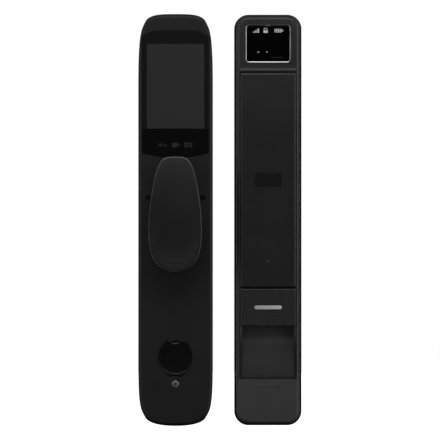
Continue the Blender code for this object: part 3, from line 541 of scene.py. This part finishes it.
def printed_glass(name, border, display=None, strip=None, inside=None):
    """Black-backed glass. The unlit panel behind it shows as a slightly lighter field."""
    made = Nodes(name)
    axes = made.add("ShaderNodeSeparateXYZ", {"Vector": made.place})
    x, z = axes.outputs["X"], axes.outputs["Z"]
    colour = grey(border)
    if strip:
        tone, below = strip
        colour = made.mix(band_mask(made, z, -1000.0, below), colour, grey(tone))
    if display:
        grain = made.spread(made.noise(0.3, 1.0), display * 0.92, display * 1.08)
        field = made.add("ShaderNodeCombineColor", {0: grain, 1: grain, 2: grain}).outputs[0]
        mask = made.math(
            "MULTIPLY",
            band_mask(made, x, inside.left, inside.right),
            band_mask(made, z, inside.low, inside.high),
        )
        colour = made.mix(mask, colour, field)
    made.set(
        Base_Color=colour,
        Roughness=made.spread(made.noise(13.0, 5.0, (1, 1, 2)), 0.03, 0.075),
        IOR=1.5,
        Normal=made.bump(made.noise(60.0, 1.0), 0.01),
    )
    return made.material


# ---------------------------------------------------------------- what the CAD nodes give

housing = Box("outdoor_housing")
glass = Box("keypad_glass")
display = Box("keypad_display")
shell = Box("handle_shell")
trim = Box("handle_trim")
arm_pin = Box("handle_pin")
disc = Box("key_cover")
cover_pin = Box("key_cover_pin")
bell_ring = Box("doorbell_ring")
bell_cap = Box("doorbell_button")
port = Box("emergency_power_port")
rim = Box("indoor_base")
body = Box("indoor_body")
window = Box("window_frame")
pane = Box("window_glass")
plate = Box("front_panel")
sensor = Box("sensor_window")
lamp = Box("status_lamp")
flap = Box("pull_flap")
flap_pin = Box("flap_pin")
badge = Box("flap_badge")
scoop = Box("finger_scoop")
end_cover = Box("battery_cover")

# What a piece can look like: the CAD material slot that it stands for, and its own material.
looks = {
    "body": ("black_coating", coating("body_powder_coat", 0.0200, 0.52, specular=0.42)),
    # Indoor coat with painted light: its tone is painted lighter from Z 80 up to Z 205, standing in for the
    # top light.
    "indoor": (
        "black_coating",
        coating("indoor_powder_coat_painted_top_light", 0.0225, 0.40, specular=0.6, rise=(80.0, 205.0, 1.9)),
    ),
    "rim": ("black_coating", coating("rim_powder_coat", 0.0150, 0.62, specular=0.18)),
    # Hollow with painted light: its tone is painted five times lighter towards its top, against the shade
    # under the flap.
    "scoop": (
        "black_plastic",
        coating("scoop_moulding_painted_light", 0.0310, 0.45, specular=0.5, rise=(-132.0, -106.0, 5.0)),
    ),
    "tile": ("black_coating", coating("flap_powder_coat", 0.035, 0.40, specular=0.6)),
    "cover": ("black_coating", coating("battery_cover_coat", 0.088, 0.48, specular=0.42)),
    "handle": (
        "handle_coating",
        coating("handle_satin_coat", 0.0175, 0.48, grain=0.28, depth=0.008, specular=0.42),
    ),
    "gloss": ("gloss_black", gloss("lacquered_black", 0.0120, 0.12)),
    "sensor": ("gloss_black", gloss("sensor_filter", 0.022, 0.2)),
    "bell": ("bright_trim", metal("doorbell_silver", (0.46, 0.46, 0.47), 0.5)),
    "keypad": (
        "dark_glass",
        printed_glass("keypad_printed_glass", 0.0200, 0.062, (0.0095, display.low), display),
    ),
    "pane": ("dark_glass", printed_glass("window_dark_glass", 0.0038)),
    "bright": ("bright_trim", metal("satin_chrome", (0.62, 0.62, 0.63), 0.28)),
    "edge": ("bright_trim", metal("smoked_chrome", (0.22, 0.22, 0.23), 0.40)),
    # Near-black strip that paints shade into the groove behind the handle.
    "rubber": ("gasket_rubber", moulded("groove_painted_shade_black", 0.004, 0.9, 0.8, 0.05)),
    "plastic": ("black_plastic", moulded("black_moulded_plastic", 0.012, 0.52)),
    "print": ("bright_trim", moulded("white_print", 0.88, 0.45, 0.2, 0.004)),
    "icon": ("unlit_display", moulded("dim_icon_print", 0.034, 0.4, 0.2, 0.004)),
    "lens": ("lamp_lens", gloss("smoked_lens", 0.09, 0.3)),
}
# What the CAD nodes that stay visible look like, by the name of their material slot.
cad_finishes = {
    "black_coating": looks["body"][1],
    "handle_coating": looks["handle"][1],
    "gloss_black": looks["gloss"][1],
    "dark_glass": looks["pane"][1],
    "unlit_display": moulded("display_module", 0.02, 0.3, 0.15, 0.002),
    "bright_trim": looks["bright"][1],
    "black_plastic": looks["plastic"][1],
    "gasket_rubber": moulded("gasket_rubber_grain", 0.010, 0.82, 0.8, 0.05),
    "zinc_plated_steel": metal("zinc_plate", (0.62, 0.62, 0.60), 0.34, (1, 1, 14), 0.3, 0.006, 0.10),
    "spring_steel": metal("spring_wire", (0.42, 0.42, 0.43), 0.28, (10, 1, 1), 0.12),
    "brass": metal("turned_brass", (0.72, 0.53, 0.24), 0.27, (1, 12, 1), 0.2, 0.006, 0.12),
    "circuit_board": moulded("solder_mask", 0.04, 0.42, 1.1, 0.02, (0.4, 2.2, 0.7)),
    "cell_sleeve": moulded("cell_sleeve_film", 0.09, 0.3, 3.0, 0.01, (0.9, 1.0, 1.15)),
    "lamp_lens": looks["lens"][1],
}


# ---------------------------------------------------------------- outdoor unit

WALL = 2.2
FRONT_WALL = 2.5
SLOT_DEPTH = 4.0  # of the holes that open into the hollow
OUT_EDGE = (4.2, 3.6)  # width and depth of the front edge's rounding
ARM_SLOT_HALF_WIDTH = 9.0
ARM_SLOT_Z = (-11.2, 10.2)  # below and above the handle's pin
HINGE_NOTCH = (8.2, 2.3)  # half width and half height, for the key cover's hinge
CROSS_GROOVE = (30.9, 20.4, 25.4, 2.0)  # behind the handle: half width, low and high Z, radius
GROOVE_DEPTH = 1.8
SHADE_STRIP_THICK = 0.4
ICON_DROP = 17.1  # from the display's lower edge to the row of touch icons
ICON_STEP = 13.1
PRINT_PROUD = 0.03
PRINT_THICK = 0.05


def handle_lift(z):
    """How far the handle falls back towards the door at height z."""
    rise = max(0.0, (z - shell.high + BOW_LENGTH) / BOW_LENGTH)
    return BOW * rise * rise


def outdoor_shell():
    """The hollow housing with its openings, a near-black strip in its groove as painted shade, and the glass
    panel.
    """
    outline = shape(outdoor_outline(housing))
    front, back = housing.front, housing.back
    rings = [at_y(outline(i), front + d) for i, d in quarter(*OUT_EDGE, 12)]
    rings += [at_y(outline(i), back - d) for i, d in quarter(0.4, 0.4, 3)[::-1]]
    rings.append(at_y(outline(WALL), back))
    rings.append(at_y(outline(WALL), front + FRONT_WALL + 2.0))
    rings.append(at_y(outline(WALL + 2.0), front + FRONT_WALL))
    through = front + SLOT_DEPTH
    keypad = shape(glass_outline(glass))
    arm_slot = rect(ARM_SLOT_HALF_WIDTH, *(arm_pin.z + z for z in ARM_SLOT_Z), 2.0)
    groove = rect(*CROSS_GROOVE)
    notch_width, notch_height = HINGE_NOTCH
    hinge = rect(notch_width, cover_pin.z - notch_height, cover_pin.z + notch_height, 1.0)
    cuts = [
        pocket(lambda reach=0.0: keypad(reach - SEAM), front, glass.back + SEAM, 0.1),
        block(
            (display.left - 1, display.right + 1),
            (front - 1, through),
            (display.low - 1, display.high + 1),
        ),
        pocket(arm_slot, front, through),
        pocket(groove, front, front + GROOVE_DEPTH, 0.2),
        pocket(disc_shape(disc.half_width + SEAM, 0, disc.z), front, through, 0.2),
        pocket(hinge, front, through, 0.1),
        pocket(disc_shape(bell_ring.half_width + SEAM, 0, bell_ring.z), front, through, 0.2),
        block(
            (-port.half_width - SEAM, port.half_width + SEAM),
            (port.front - SEAM, port.back + SEAM),
            (housing.low - 3.0, housing.low + 6.0),
        ),
    ]
    piece("outdoor_shell", loft(rings), looks["body"], replaces=["outdoor_housing"], cuts=cuts)
    # Painted shade: a near-black strip on the groove's floor makes the notches beside the handle dark.
    floor = front + GROOVE_DEPTH
    strip = slab(lambda reach=0.0: groove(reach + SEAM), floor - SHADE_STRIP_THICK, floor, 0.2)
    piece("groove_painted_shade_strip", strip, looks["rubber"])
    panel = slab(keypad, glass.front, glass.back, 0.3, 0.25)
    piece("keypad_glass_panel", panel, looks["keypad"], replaces=["keypad_glass"])


def printed(outlines, surface):
    """Flat marks on a surface whose front is at this depth."""
    return flat_shape(outlines, surface - PRINT_PROUD, PRINT_THICK)


def touch_icons():
    """Three dim pictograms printed on the glass: a key, a camera and a card."""
    z = display.low - ICON_DROP
    step = ICON_STEP
    key = [circle(1.9, -step - 2.4, z, 32), rounded_rect(3.1, z - 0.55, z + 0.55, 0.3, -step + 1.1)]
    key += [rounded_rect(0.5, z - 1.9, z, 0.2, -step + x) for x in (1.7, 3.6)]
    camera = [rounded_rect(2.8, z - 2.4, z + 2.4, 1.0, -1.0)]
    camera.append([(2.3, z - 0.9), (4.1, z - 2.0), (4.1, z + 2.0), (2.3, z + 0.9)])
    card = [
        rounded_rect(4.3, z + 1.2, z + 2.4, 0.3, step),
        rounded_rect(2.6, z - 0.7, z + 0.5, 0.3, step - 1.7),
        rounded_rect(1.2, z - 2.4, z + 0.5, 0.4, step + 3.1),
        rounded_rect(2.6, z - 2.4, z - 1.3, 0.3, step - 1.7),
    ]
    for name, outlines in (("key", key), ("camera", camera), ("card", card)):
        piece(f"touch_icon_{name}", printed(outlines, glass.front), looks["icon"])


# ---------------------------------------------------------------- the handle

TRIM_WIDTH = 1.3
TRIM_STEP = 2.2  # depth of the rebate that holds the trim
DISH = 3.2
HOLLOW_Z = -34.0  # where the dish is deepest
HOLLOW_LENGTH = 20.0
POLE_DROP = 10.0  # from the handle's middle to the point that its rings close in on
BACK_EDGE = (3.4, 4.6)
BACK_RIM = 4.2
BACK_RECESS = 6.1
NECK_HALF_WIDTH = 13.0
NECK_Z = (-12.9, 8.9)  # below and above the handle's pin
NECK_FLARE = 1.6
NECK_TAPER = 1.2  # how much further out its upper side starts


def dish_depth(share, z):
    """The dished face: flat-floored towards the rim, with a deeper hollow near the lower end."""
    hollow = 0.5 + 0.5 * math.exp(-(((z - HOLLOW_Z) / HOLLOW_LENGTH) ** 2))
    return DISH * hollow * (1 - share**4) ** 1.5


def handle_skins():
    """The petal, dished in front and hollowed behind, and the bright trim in its rebate."""
    outline = shape(petal_outline(shell))
    face = outline(TRIM_WIDTH + SEAM)
    front, back = shell.front, shell.back - BOW
    middle = (shell.high + shell.low) / 2 - POLE_DROP
    rings = [[(0.0, front + dish_depth(0, middle) + handle_lift(middle), middle)]]
    count = 30
    for i in range(1, count + 1):
        s = i / count
        ring = [(x * s, middle + (z - middle) * s) for x, z in face]
        rings.append([(x, front + dish_depth(s, z) + handle_lift(z), z) for x, z in ring])
    step = front + TRIM_STEP
    rings.append(at_y(outline(TRIM_WIDTH + SEAM - 0.1), front + 0.25, handle_lift))
    rings.append(at_y(outline(TRIM_WIDTH + SEAM - 0.1), step, handle_lift))
    rings.append(at_y(outline(), step, handle_lift))
    rings += [at_y(outline(i), back - d, handle_lift) for i, d in quarter(*BACK_EDGE, 10)[::-1]]
    rings.append(at_y(outline(BACK_RIM), back, handle_lift))
    floor = outline(BACK_RIM)
    for s in (1.0, 0.8, 0.6, 0.4, 0.2):
        ring = [(x * s, middle + (z - middle) * s) for x, z in floor]
        rings.append(at_y(ring, back - BACK_RECESS, handle_lift))
    rings.append([(0.0, back - BACK_RECESS + handle_lift(middle), middle)])
    piece("handle_petal", loft(rings), looks["handle"], "handle", ["handle_shell"])

    low = step - SEAM
    profile = [(0.0, low), (0.0, front + 1.5), (0.05, front + 1.4), (0.75, front + 0.4), (0.9, front + 0.3)]
    profile += [(TRIM_WIDTH - 0.1, front + 0.3), (TRIM_WIDTH, front + 0.4), (TRIM_WIDTH, low)]
    piece("handle_edge_trim", hoop(outline, profile, handle_lift), looks["edge"], "handle", ["handle_trim"])


def handle_neck():
    """A rounded sleeve round the arm, flared where it meets the handle's back."""
    low, high = (arm_pin.z + z for z in NECK_Z)
    start = housing.front - 1.6
    end = shell.back - BOW + 1.4
    rings = []
    for i in range(13):
        t = i / 12
        flare = NECK_FLARE * max(0.0, (t - 0.55) / 0.45) ** 2
        outline = rounded_rect(NECK_HALF_WIDTH + flare, low - flare, high + flare, 1.7 + flare)
        ring = []
        for x, z in outline:
            lead = NECK_TAPER * (z - low) / (high - low) * (1 - t)
            ring.append((x, start + (end + handle_lift(z) - start) * t - lead, z))
        rings.append(ring)
    piece("handle_neck", loft(rings), looks["handle"], "handle")


# ---------------------------------------------------------------- key cover and doorbell

KNUCKLE_HALF_WIDTH = 4.4
KNUCKLE_R = 1.3
PIN_HOLE_R = 0.75
BELL_BORE_R = 3.15
BELL_CAP_R = 2.95
BELL_CAP_LENGTH = 4.0  # from its face to the collar that keeps it in


def key_cover():
    """The round disc with a fingernail dip, on a knuckle between two notches."""
    front, radius = disc.front, disc.half_width
    arc = [math.radians(9 * i) for i in range(11)]
    profile = [(0.0, front), (radius - 3.0, front)]
    profile += [(radius - 0.6 + 0.6 * math.sin(a), front + 0.8 - 0.6 * math.cos(a)) for a in arc]
    profile += [(radius, disc.back - 0.3), (radius - 0.3, disc.back), (0.0, disc.back)]
    pin_y, pin_z = cover_pin.y, cover_pin.z
    nail = ellipsoid((0.0, front - 0.55, disc.z + radius - 3.6), (4.4, 1.7, 2.0))
    cuts = [nail, rod((-12, 12), pin_y, pin_z, PIN_HOLE_R)]
    clear = KNUCKLE_HALF_WIDTH + SEAM
    for ends in ((-12, -clear), (clear, 12)):
        cuts.append(block(ends, (front - 1, disc.back + 2), (pin_z - 2.0, pin_z + 1.6)))
    knuckle = rod((-KNUCKLE_HALF_WIDTH, KNUCKLE_HALF_WIDTH), pin_y, pin_z, KNUCKLE_R)
    piece(
        "key_cover_disc",
        turned(0, disc.z, profile),
        looks["gloss"],
        "key_cover",
        ["key_cover"],
        cuts=cuts,
        joins=[knuckle],
    )


def doorbell():
    """The ring, the cap that sinks into it and the bell printed on the cap."""
    z = bell_ring.z
    outer = bell_ring.half_width
    wall = outer - BELL_BORE_R
    edge = quarter(wall * 0.5, wall * 0.5, 4)
    outside = [(i, bell_ring.front + d) for i, d in edge]
    inside = [(wall - i, bell_ring.front + d) for i, d in edge]
    profile = [(0.0, bell_ring.back)] + outside[::-1] + inside[1:] + [(wall, bell_ring.back)]
    bezel = hoop(disc_shape(outer, 0, z), profile)
    piece("doorbell_bezel", bezel, looks["bell"], replaces=["doorbell_ring"])
    front = bell_cap.front
    shoulder = front + BELL_CAP_LENGTH
    collar = bell_cap.half_width
    cap = [(0.0, front), (2.1, front + 0.03), (2.6, front + 0.1), (2.85, front + 0.3)]
    cap += [(BELL_CAP_R, front + 0.6), (BELL_CAP_R, shoulder), (collar, shoulder)]
    cap += [(collar, bell_cap.back), (0.0, bell_cap.back)]
    piece("doorbell_cap", turned(0, z, cap), looks["bell"], "doorbell", ["doorbell_button"])
    arch = [math.pi * i / 20 for i in range(21)]
    dome = [(1.3 * math.cos(a), z - 0.8 + 2.4 * math.sin(a)) for a in arch]
    brim = rounded_rect(1.85, z - 1.2, z - 0.9, 0.14)
    clapper = circle(0.45, 0, z - 1.8, 24)
    piece("doorbell_symbol", flat_shape([dome, brim, clapper], front - 0.05, 0.2), looks["icon"], "doorbell")


# ---------------------------------------------------------------- indoor unit

CORNER_R = 15.0
RIM_WALL = 1.6
BODY_INSET = 2.2
BODY_BACK = -2.2
IN_EDGE = (4.4, 4.0)  # width and depth of the shell's rounding
PLATE_EDGE = (2.6, 1.8)  # and of the front plate's
RECESS_DEPTH = 3.7  # of the beds that hold the window and the front plate
# The rib above the front plate: how far it stands proud at each height.
RIB = ((0.0, 160.0), (0.06, 159.0), (0.15, 158.2), (0.28, 157.4), (0.45, 156.8), (0.62, 156.3), (0.7, 155.9))
RIB_UNDERSIDE = ((0.7, 155.6), (0.62, 155.2), (0.5, 155.0), (-0.5, 154.7), (-0.5, 160.0))
THUMB_RIDGE = (-174.3, -171.7)  # low and high Z on the battery cover
THUMB_RIDGE_HALF_WIDTH = 14.5
PANE_SUNK = 0.5  # below the shell's front


def indoor_outline(reach=0.0):
    """The indoor unit's outline, moved inwards by reach."""
    return rounded_rect(
        rim.half_width - reach, rim.low + reach, rim.high - reach, CORNER_R - reach, rim.x, 20
    )


def indoor_rings(back, front):
    """The front shell that the body and the battery cover share."""
    rings = [at_y(indoor_outline(BODY_INSET + i), front + d) for i, d in quarter(*IN_EDGE, 12)]
    rings.append(at_y(indoor_outline(BODY_INSET), back))
    inner = indoor_outline(BODY_INSET + 2.0)
    rings += [at_y(inner, back), at_y(inner, front + 4.2)]
    return rings + [at_y(indoor_outline(BODY_INSET + 4.2), front + 2.2)]


def crest(front, half_width, x):
    """The low rib above the front plate: a hollow ramp down to a soft crest, and its underside."""
    section = [(front - proud, z) for proud, z in RIB + RIB_UNDERSIDE]
    return side_prism(section, x - half_width, x + half_width)


def ridge(low, high, front, proud, half_width, x):
    """A soft moulded rib across the width, with rounded ends."""
    half = (high - low) / 2
    outline = rect(half_width, low, high, half - 0.02, x, 8)
    rings = [at_y(outline(i), front - proud + d) for i, d in quarter(half - 0.1, proud, 6)]
    return loft(rings + [at_y(outline(), front + 0.8)])


def indoor_shells():
    """The outer rim, the front shell and the battery cover that continues it downwards."""
    profile = [(0.0, rim.back), (0.0, rim.front + 0.3), (0.09, rim.front + 0.09), (0.3, rim.front)]
    profile += [(RIM_WALL - i, y) for i, y in profile[::-1]]
    piece("indoor_rim", hoop(indoor_outline, profile), looks["rim"], replaces=["indoor_base"])

    front, x = body.front, rim.x
    frame_hole = rect(window.half_width + SEAM, window.low - SEAM, window.high + SEAM, 4.0, x)
    opening = rect(plate.half_width + SEAM, scoop.low - SEAM, plate.high + SEAM, 1.5, x)
    cuts = [
        block((x - PAST, x + PAST), (-PAST, rim.front - SEAM), (rim.low - 9, scoop.low - 0.9)),
        pocket(frame_hole, front, front + RECESS_DEPTH, 0.1),
        pocket(opening, front, front + RECESS_DEPTH, 0.2),
    ]
    piece(
        "indoor_shell",
        loft(indoor_rings(BODY_BACK, front)),
        looks["indoor"],
        replaces=["indoor_body"],
        cuts=cuts,
        joins=[crest(front, plate.half_width, x)],
    )
    cuts = [
        block((x - PAST, x + PAST), (-PAST, 10), (end_cover.high, rim.high + 9)),
        block((x - PAST, x + PAST), (end_cover.back, 10), (rim.low - 9, rim.high)),
    ]
    piece(
        "battery_end_cover",
        loft(indoor_rings(end_cover.back + 2.0, front)),
        looks["cover"],
        "battery_cover",
        ["battery_cover"],
        cuts=cuts,
        joins=[ridge(*THUMB_RIDGE, front, 0.3, THUMB_RIDGE_HALF_WIDTH, x)],
    )


def signal_bars(x, z):
    """Three bars of growing height."""
    return [
        rounded_rect(0.75, z - 2.2, z - 2.2 + tall, 0.3, x + 2.3 * i - 2.3)
        for i, tall in enumerate((1.4, 2.8, 4.4))
    ]


def padlock(x, z):
    """A body with a square shackle above it."""
    lock = [rounded_rect(2.3, z - 2.4, z + 0.1, 0.4, x), rounded_rect(1.8, z + 2.1, z + 2.7, 0.29, x)]
    return lock + [rounded_rect(0.3, z, z + 2.4, 0.28, x + side) for side in (-1.5, 1.5)]


def battery_gauge(x, z):
    """A cell's outline, three bars inside it and the cap at its end."""
    cell = [rounded_rect(4.0, low, low + 0.7, 0.3, x) for low in (z - 1.9, z + 1.2)]
    cell += [rounded_rect(0.35, z - 1.9, z + 1.9, 0.3, x + side) for side in (-3.65, 3.65)]
    cell += [rounded_rect(0.75, z - 0.8, z + 0.8, 0.2, x - 2.1 + 2.1 * i) for i in range(3)]
    return cell + [rounded_rect(0.5, z - 0.7, z + 0.7, 0.3, x + 4.7)]


def status_window():
    """The bright bezel, the dark pane sunk in it and the pictograms printed on the pane."""
    x = window.x
    outline = rect(window.half_width, window.low, window.high, 3.7, x)
    line = window.half_width - pane.half_width - SEAM
    level = body.front
    profile = [(0.0, window.back), (0.0, level + 0.1), (0.1, level - 0.05), (0.3, level - 0.08)]
    profile += [(line - 0.1, level + 0.20), (line, level + 0.32), (line, window.back)]
    piece("window_bezel", hoop(outline, profile), looks["bright"], replaces=["window_frame"])
    sunk = level + PANE_SUNK
    panel = slab(rect(pane.half_width, pane.low, pane.high, 2.4, x), sunk, pane.back, 0.25)
    piece("window_pane", panel, looks["pane"], replaces=["window_glass"])

    z = pane.high - 5.0
    pictograms = {
        "signal_bars": signal_bars(x - 12.6, z),
        "padlock": padlock(x - 2.6, z),
        "battery_gauge": battery_gauge(x + 10.6, z),
    }
    for name, outlines in pictograms.items():
        piece(f"window_{name}", printed(outlines, sunk), looks["print"])
    low_z = pane.low + 7.0
    marks = [rounded_rect(0.9, low_z + 2.0, low_z + 3.0, 0.4, x - 10.1)]
    marks.append(circle(0.7, x - 1.2, low_z + 2.6, 24))
    piece("window_low_marks", printed(marks, sunk), looks["print"])
    line_mark = [rounded_rect(6.8, low_z - 3.4, low_z - 2.8, 0.25, x + 9.2)]
    piece("window_low_line", printed(line_mark, sunk), looks["icon"])


def front_plate():
    """The long plate with the sensor's pane and the lamp's lens in it."""
    x = plate.x
    outline = rect(plate.half_width, plate.low, plate.high, 1.4, x)
    sensor_hole = rect(sensor.half_width + 0.2, sensor.low - 0.2, sensor.high + 0.2, 0.7, x)
    cuts = [
        pocket(sensor_hole, plate.front, plate.back + 1, 0.03),
        pocket(disc_shape(lamp.half_width + 0.2, x, lamp.z, 48), plate.front, plate.back + 1, 0.1),
    ]
    solid = slab(outline, plate.front, plate.back, *PLATE_EDGE, 10)
    piece("long_front_plate", solid, looks["indoor"], replaces=["front_panel"], cuts=cuts)
    sensor_outline = rect(sensor.half_width, sensor.low, sensor.high, 0.6, x)
    solid = slab(sensor_outline, sensor.front, sensor.back, 0.05)
    piece("sensor_pane", solid, looks["sensor"], replaces=["sensor_window"])
    arc = [math.radians(15 * i) for i in range(1, 7)]
    dome = [(0.0, lamp.front)]
    dome += [(lamp.half_width * math.sin(a), lamp.front + 0.5 * (1 - math.cos(a))) for a in arc]
    dome += [(lamp.half_width, lamp.back), (0.0, lamp.back)]
    piece("status_lens", turned(x, lamp.z, dome, 48), looks["lens"], replaces=["status_lamp"])


# ---------------------------------------------------------------- the pull flap and its hollow

TILE_BACK = 1.6  # behind the front plate's front
LUG_X = (20.0, 24.0)  # the flap's hinge lugs, either side of its middle
SPRING_X = (-18.8, -11.2)
SPRING_CLEAR_R = 2.5
FLAP_PIN_HOLE_R = 1.15
SCOOP_FRONT = -29.4
SCOOP_DEEP = SCOOP_FRONT + 12.4
SCOOP_SKIN = 1.6
SCOOP_SIDE = 1.5
TRAY_TOP = -92.0
TRAY_FLOOR = 1.2  # thickness of the tray's lower lip
EAR_IN = 26.4  # inner faces of the ears that hold the flap's pin
EAR_FRONT = -26.4


def pull_tile():
    """The flap's tile with its hinge lugs, and the plain badge in it."""
    x = flap.x
    outline = rect(flap.half_width, flap.low, flap.high, 1.3, x)
    back = plate.front + TILE_BACK
    thumb = ridge(flap.low + 6.6, flap.low + 7.9, flap.front, 0.25, 6.3, x)
    near, far = LUG_X
    lugs = []
    for ends in ((x - far, x - near), (x + near, x + far)):
        lugs.append(block(ends, (back - 0.6, flap_pin.y + 1.9), (flap_pin.z - 4.0, flap_pin.z + 1.2)))
    badge_outline = rect(badge.half_width, badge.low, badge.high, badge.half_height - 0.05, x)
    cuts = [
        rod((x - 30, x + 30), flap_pin.y, flap_pin.z, FLAP_PIN_HOLE_R),
        rod((x + SPRING_X[0], x + SPRING_X[1]), flap_pin.y, flap_pin.z, SPRING_CLEAR_R),
        pocket(lambda reach=0.0: badge_outline(reach - SEAM), flap.front, flap.front + 0.8, 0.15),
    ]
    tile = slab(outline, flap.front, back, 1.3, 0.9, 7)
    piece("flap_tile", tile, looks["tile"], "flap", ["pull_flap"], cuts=cuts, joins=lugs + [thumb])
    plain = slab(badge_outline, badge.front, badge.back, 0.35, 0.2)
    piece("badge_plain", plain, looks["print"], "flap", ["flap_badge"])


def scoop_tray():
    """The hollow under the flap, one smooth curve from deep behind it up to the front edge."""
    low, high, half, x = scoop.low, scoop.high, scoop.half_width, scoop.x
    front, deep = SCOOP_FRONT, SCOOP_DEEP
    lip, roof = low + TRAY_FLOOR, TRAY_TOP - 1.4
    face_end = (front + 0.5, lip)
    face = bezier((deep, roof), (deep, TRAY_TOP - 34.0), (front + 4.4, -143.0), face_end, 40)
    back_end = (deep + SCOOP_SKIN, TRAY_TOP)
    back = bezier((front + 1.5, low), (front + 5.6, -144.0), (back_end[0], TRAY_TOP - 36.0), back_end, 40)
    section = [(front, low), (front, TRAY_TOP), back_end] + back[::-1]
    hollow = [(-40.0, lip), (-40.0, roof)] + face + [face_end]
    ears = []
    for side in (-1, 1):
        ends = sorted((x + side * EAR_IN, x + side * half))
        ears.append(block(ends, (flap_pin.y + 3.0, EAR_FRONT), (TRAY_TOP - 4.0, high)))
        ears.append(block(ends, (flap_pin.y + 3.0, flap_pin.y - 0.6), (flap_pin.z - 3.0, high)))
    inner = half - SCOOP_SIDE
    piece(
        "scoop_tray",
        side_prism(section, x - half, x + half),
        looks["scoop"],
        replaces=["finger_scoop"],
        joins=ears,
        cuts=[
            side_prism(hollow, x - inner, x + inner),
            rod((x - 27.9, x + 27.9), flap_pin.y, flap_pin.z, FLAP_PIN_HOLE_R),
        ],
    )


# ---------------------------------------------------------------- light, floor and camera

COVER_TRAVEL = 52.0  # the battery cover slides down past the lock's own lower end
FLOOR_GAP = 3.0
FLOOR_R = 3000.0
CAMERA_LENS = 235.0
CAMERA_DISTANCE = 3.022  # in metres, straight in front of the pair's middle


def softbox(name, azimuth, elevation, distance, width, height, radiance):
    """An even panel seen from the lock's middle at these angles, in degrees; 0, 0 is in front."""
    low, high = cad_bounds
    centre = (low + high) / 2
    turn, rise = math.radians(azimuth), math.radians(elevation)
    away = Vector((math.sin(turn) * math.cos(rise), -math.cos(turn) * math.cos(rise), math.sin(rise)))
    light = bpy.data.lights.new(name, "AREA")
    light.shape = "RECTANGLE"
    light.size = width
    light.size_y = height
    light.energy = radiance * math.pi * width * height
    panel = bpy.data.objects.new(name, light)
    panel.location = centre + away * distance
    panel.rotation_euler = (-away).to_track_quat("-Z", "Y").to_euler()
    panel.visible_camera = False
    bpy.context.scene.collection.objects.link(panel)


def lights():
    """Softboxes: azimuth, elevation, distance, width and height in metres, and how bright."""
    softbox("overhead", 0, 47, 1.5, 1.25, 0.5, 2.9)
    softbox("right_wall", 62, 0, 1.5, 1.0, 1.9, 1.4)
    softbox("left_wall", -68, 0, 1.5, 0.7, 1.9, 1.0)
    softbox("left_strip", -32, 0, 1.6, 0.2, 1.9, 1.5)
    softbox("low_front", 0, -17, 2.2, 1.4, 0.35, 0.5)
    softbox("behind", 180, 10, 2.0, 2.6, 2.2, 0.9)


def background():
    """A white world that lights nothing, so that only the softboxes do."""
    world = bpy.data.worlds.new("studio")
    world.use_nodes = True
    world.node_tree.nodes["Background"].inputs["Color"].default_value = (1.0, 1.0, 1.0, 1.0)
    bpy.context.scene.world = world
    world.cycles_visibility.diffuse = False
    world.cycles_visibility.glossy = False
    bpy.context.scene.view_settings.view_transform = "Standard"


def pale_floor():
    """A round floor below the lock and below the battery cover when that is slid off."""
    pale = Nodes("pale_floor")
    pale.set(
        Base_Color=pale.mix(pale.spread(pale.noise(90.0, 2.0), 0.0, 1.0), grey(0.80), grey(0.84)),
        Roughness=0.9,
        Emission_Color=(1.0, 1.0, 1.0, 1.0),
        Emission_Strength=0.98,
    )
    bottom = cad_bounds[0].z / MM - COVER_TRAVEL - FLOOR_GAP
    edge = [(x, y, bottom) for x, y in circle(FLOOR_R)]
    mesh = mesh_of("floor", (edge, [tuple(range(len(edge)))]))
    floor = bpy.data.objects.new("floor", mesh)
    floor.data.materials.append(pale.material)
    floor.visible_diffuse = False
    floor.visible_glossy = False
    bpy.context.scene.collection.objects.link(floor)


def front_camera():
    """A long lens, level and square to the fronts."""
    camera = bpy.data.objects.new("camera", bpy.data.cameras.new("camera"))
    camera.data.lens = CAMERA_LENS
    camera.data.sensor_width = 36.0
    camera.location = ((cad_bounds[0].x + cad_bounds[1].x) / 2, -CAMERA_DISTANCE, 0.0)
    camera.rotation_euler = (math.pi / 2, 0.0, 0.0)
    bpy.context.scene.collection.objects.link(camera)
    bpy.context.scene.camera = camera


def dress_cad_nodes():
    """Every CAD node gets its finish; the ones that a piece replaces aren't shown anyway."""
    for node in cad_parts.values():
        for holder in node.material_slots:
            slot = holder.material.name.split(".")[0]
            holder.material = cad_finishes[slot]


dress_cad_nodes()
outdoor_shell()
touch_icons()
handle_skins()
handle_neck()
key_cover()
doorbell()
indoor_shells()
status_window()
front_plate()
pull_tile()
scoop_tray()
lights()
background()
pale_floor()
front_camera()
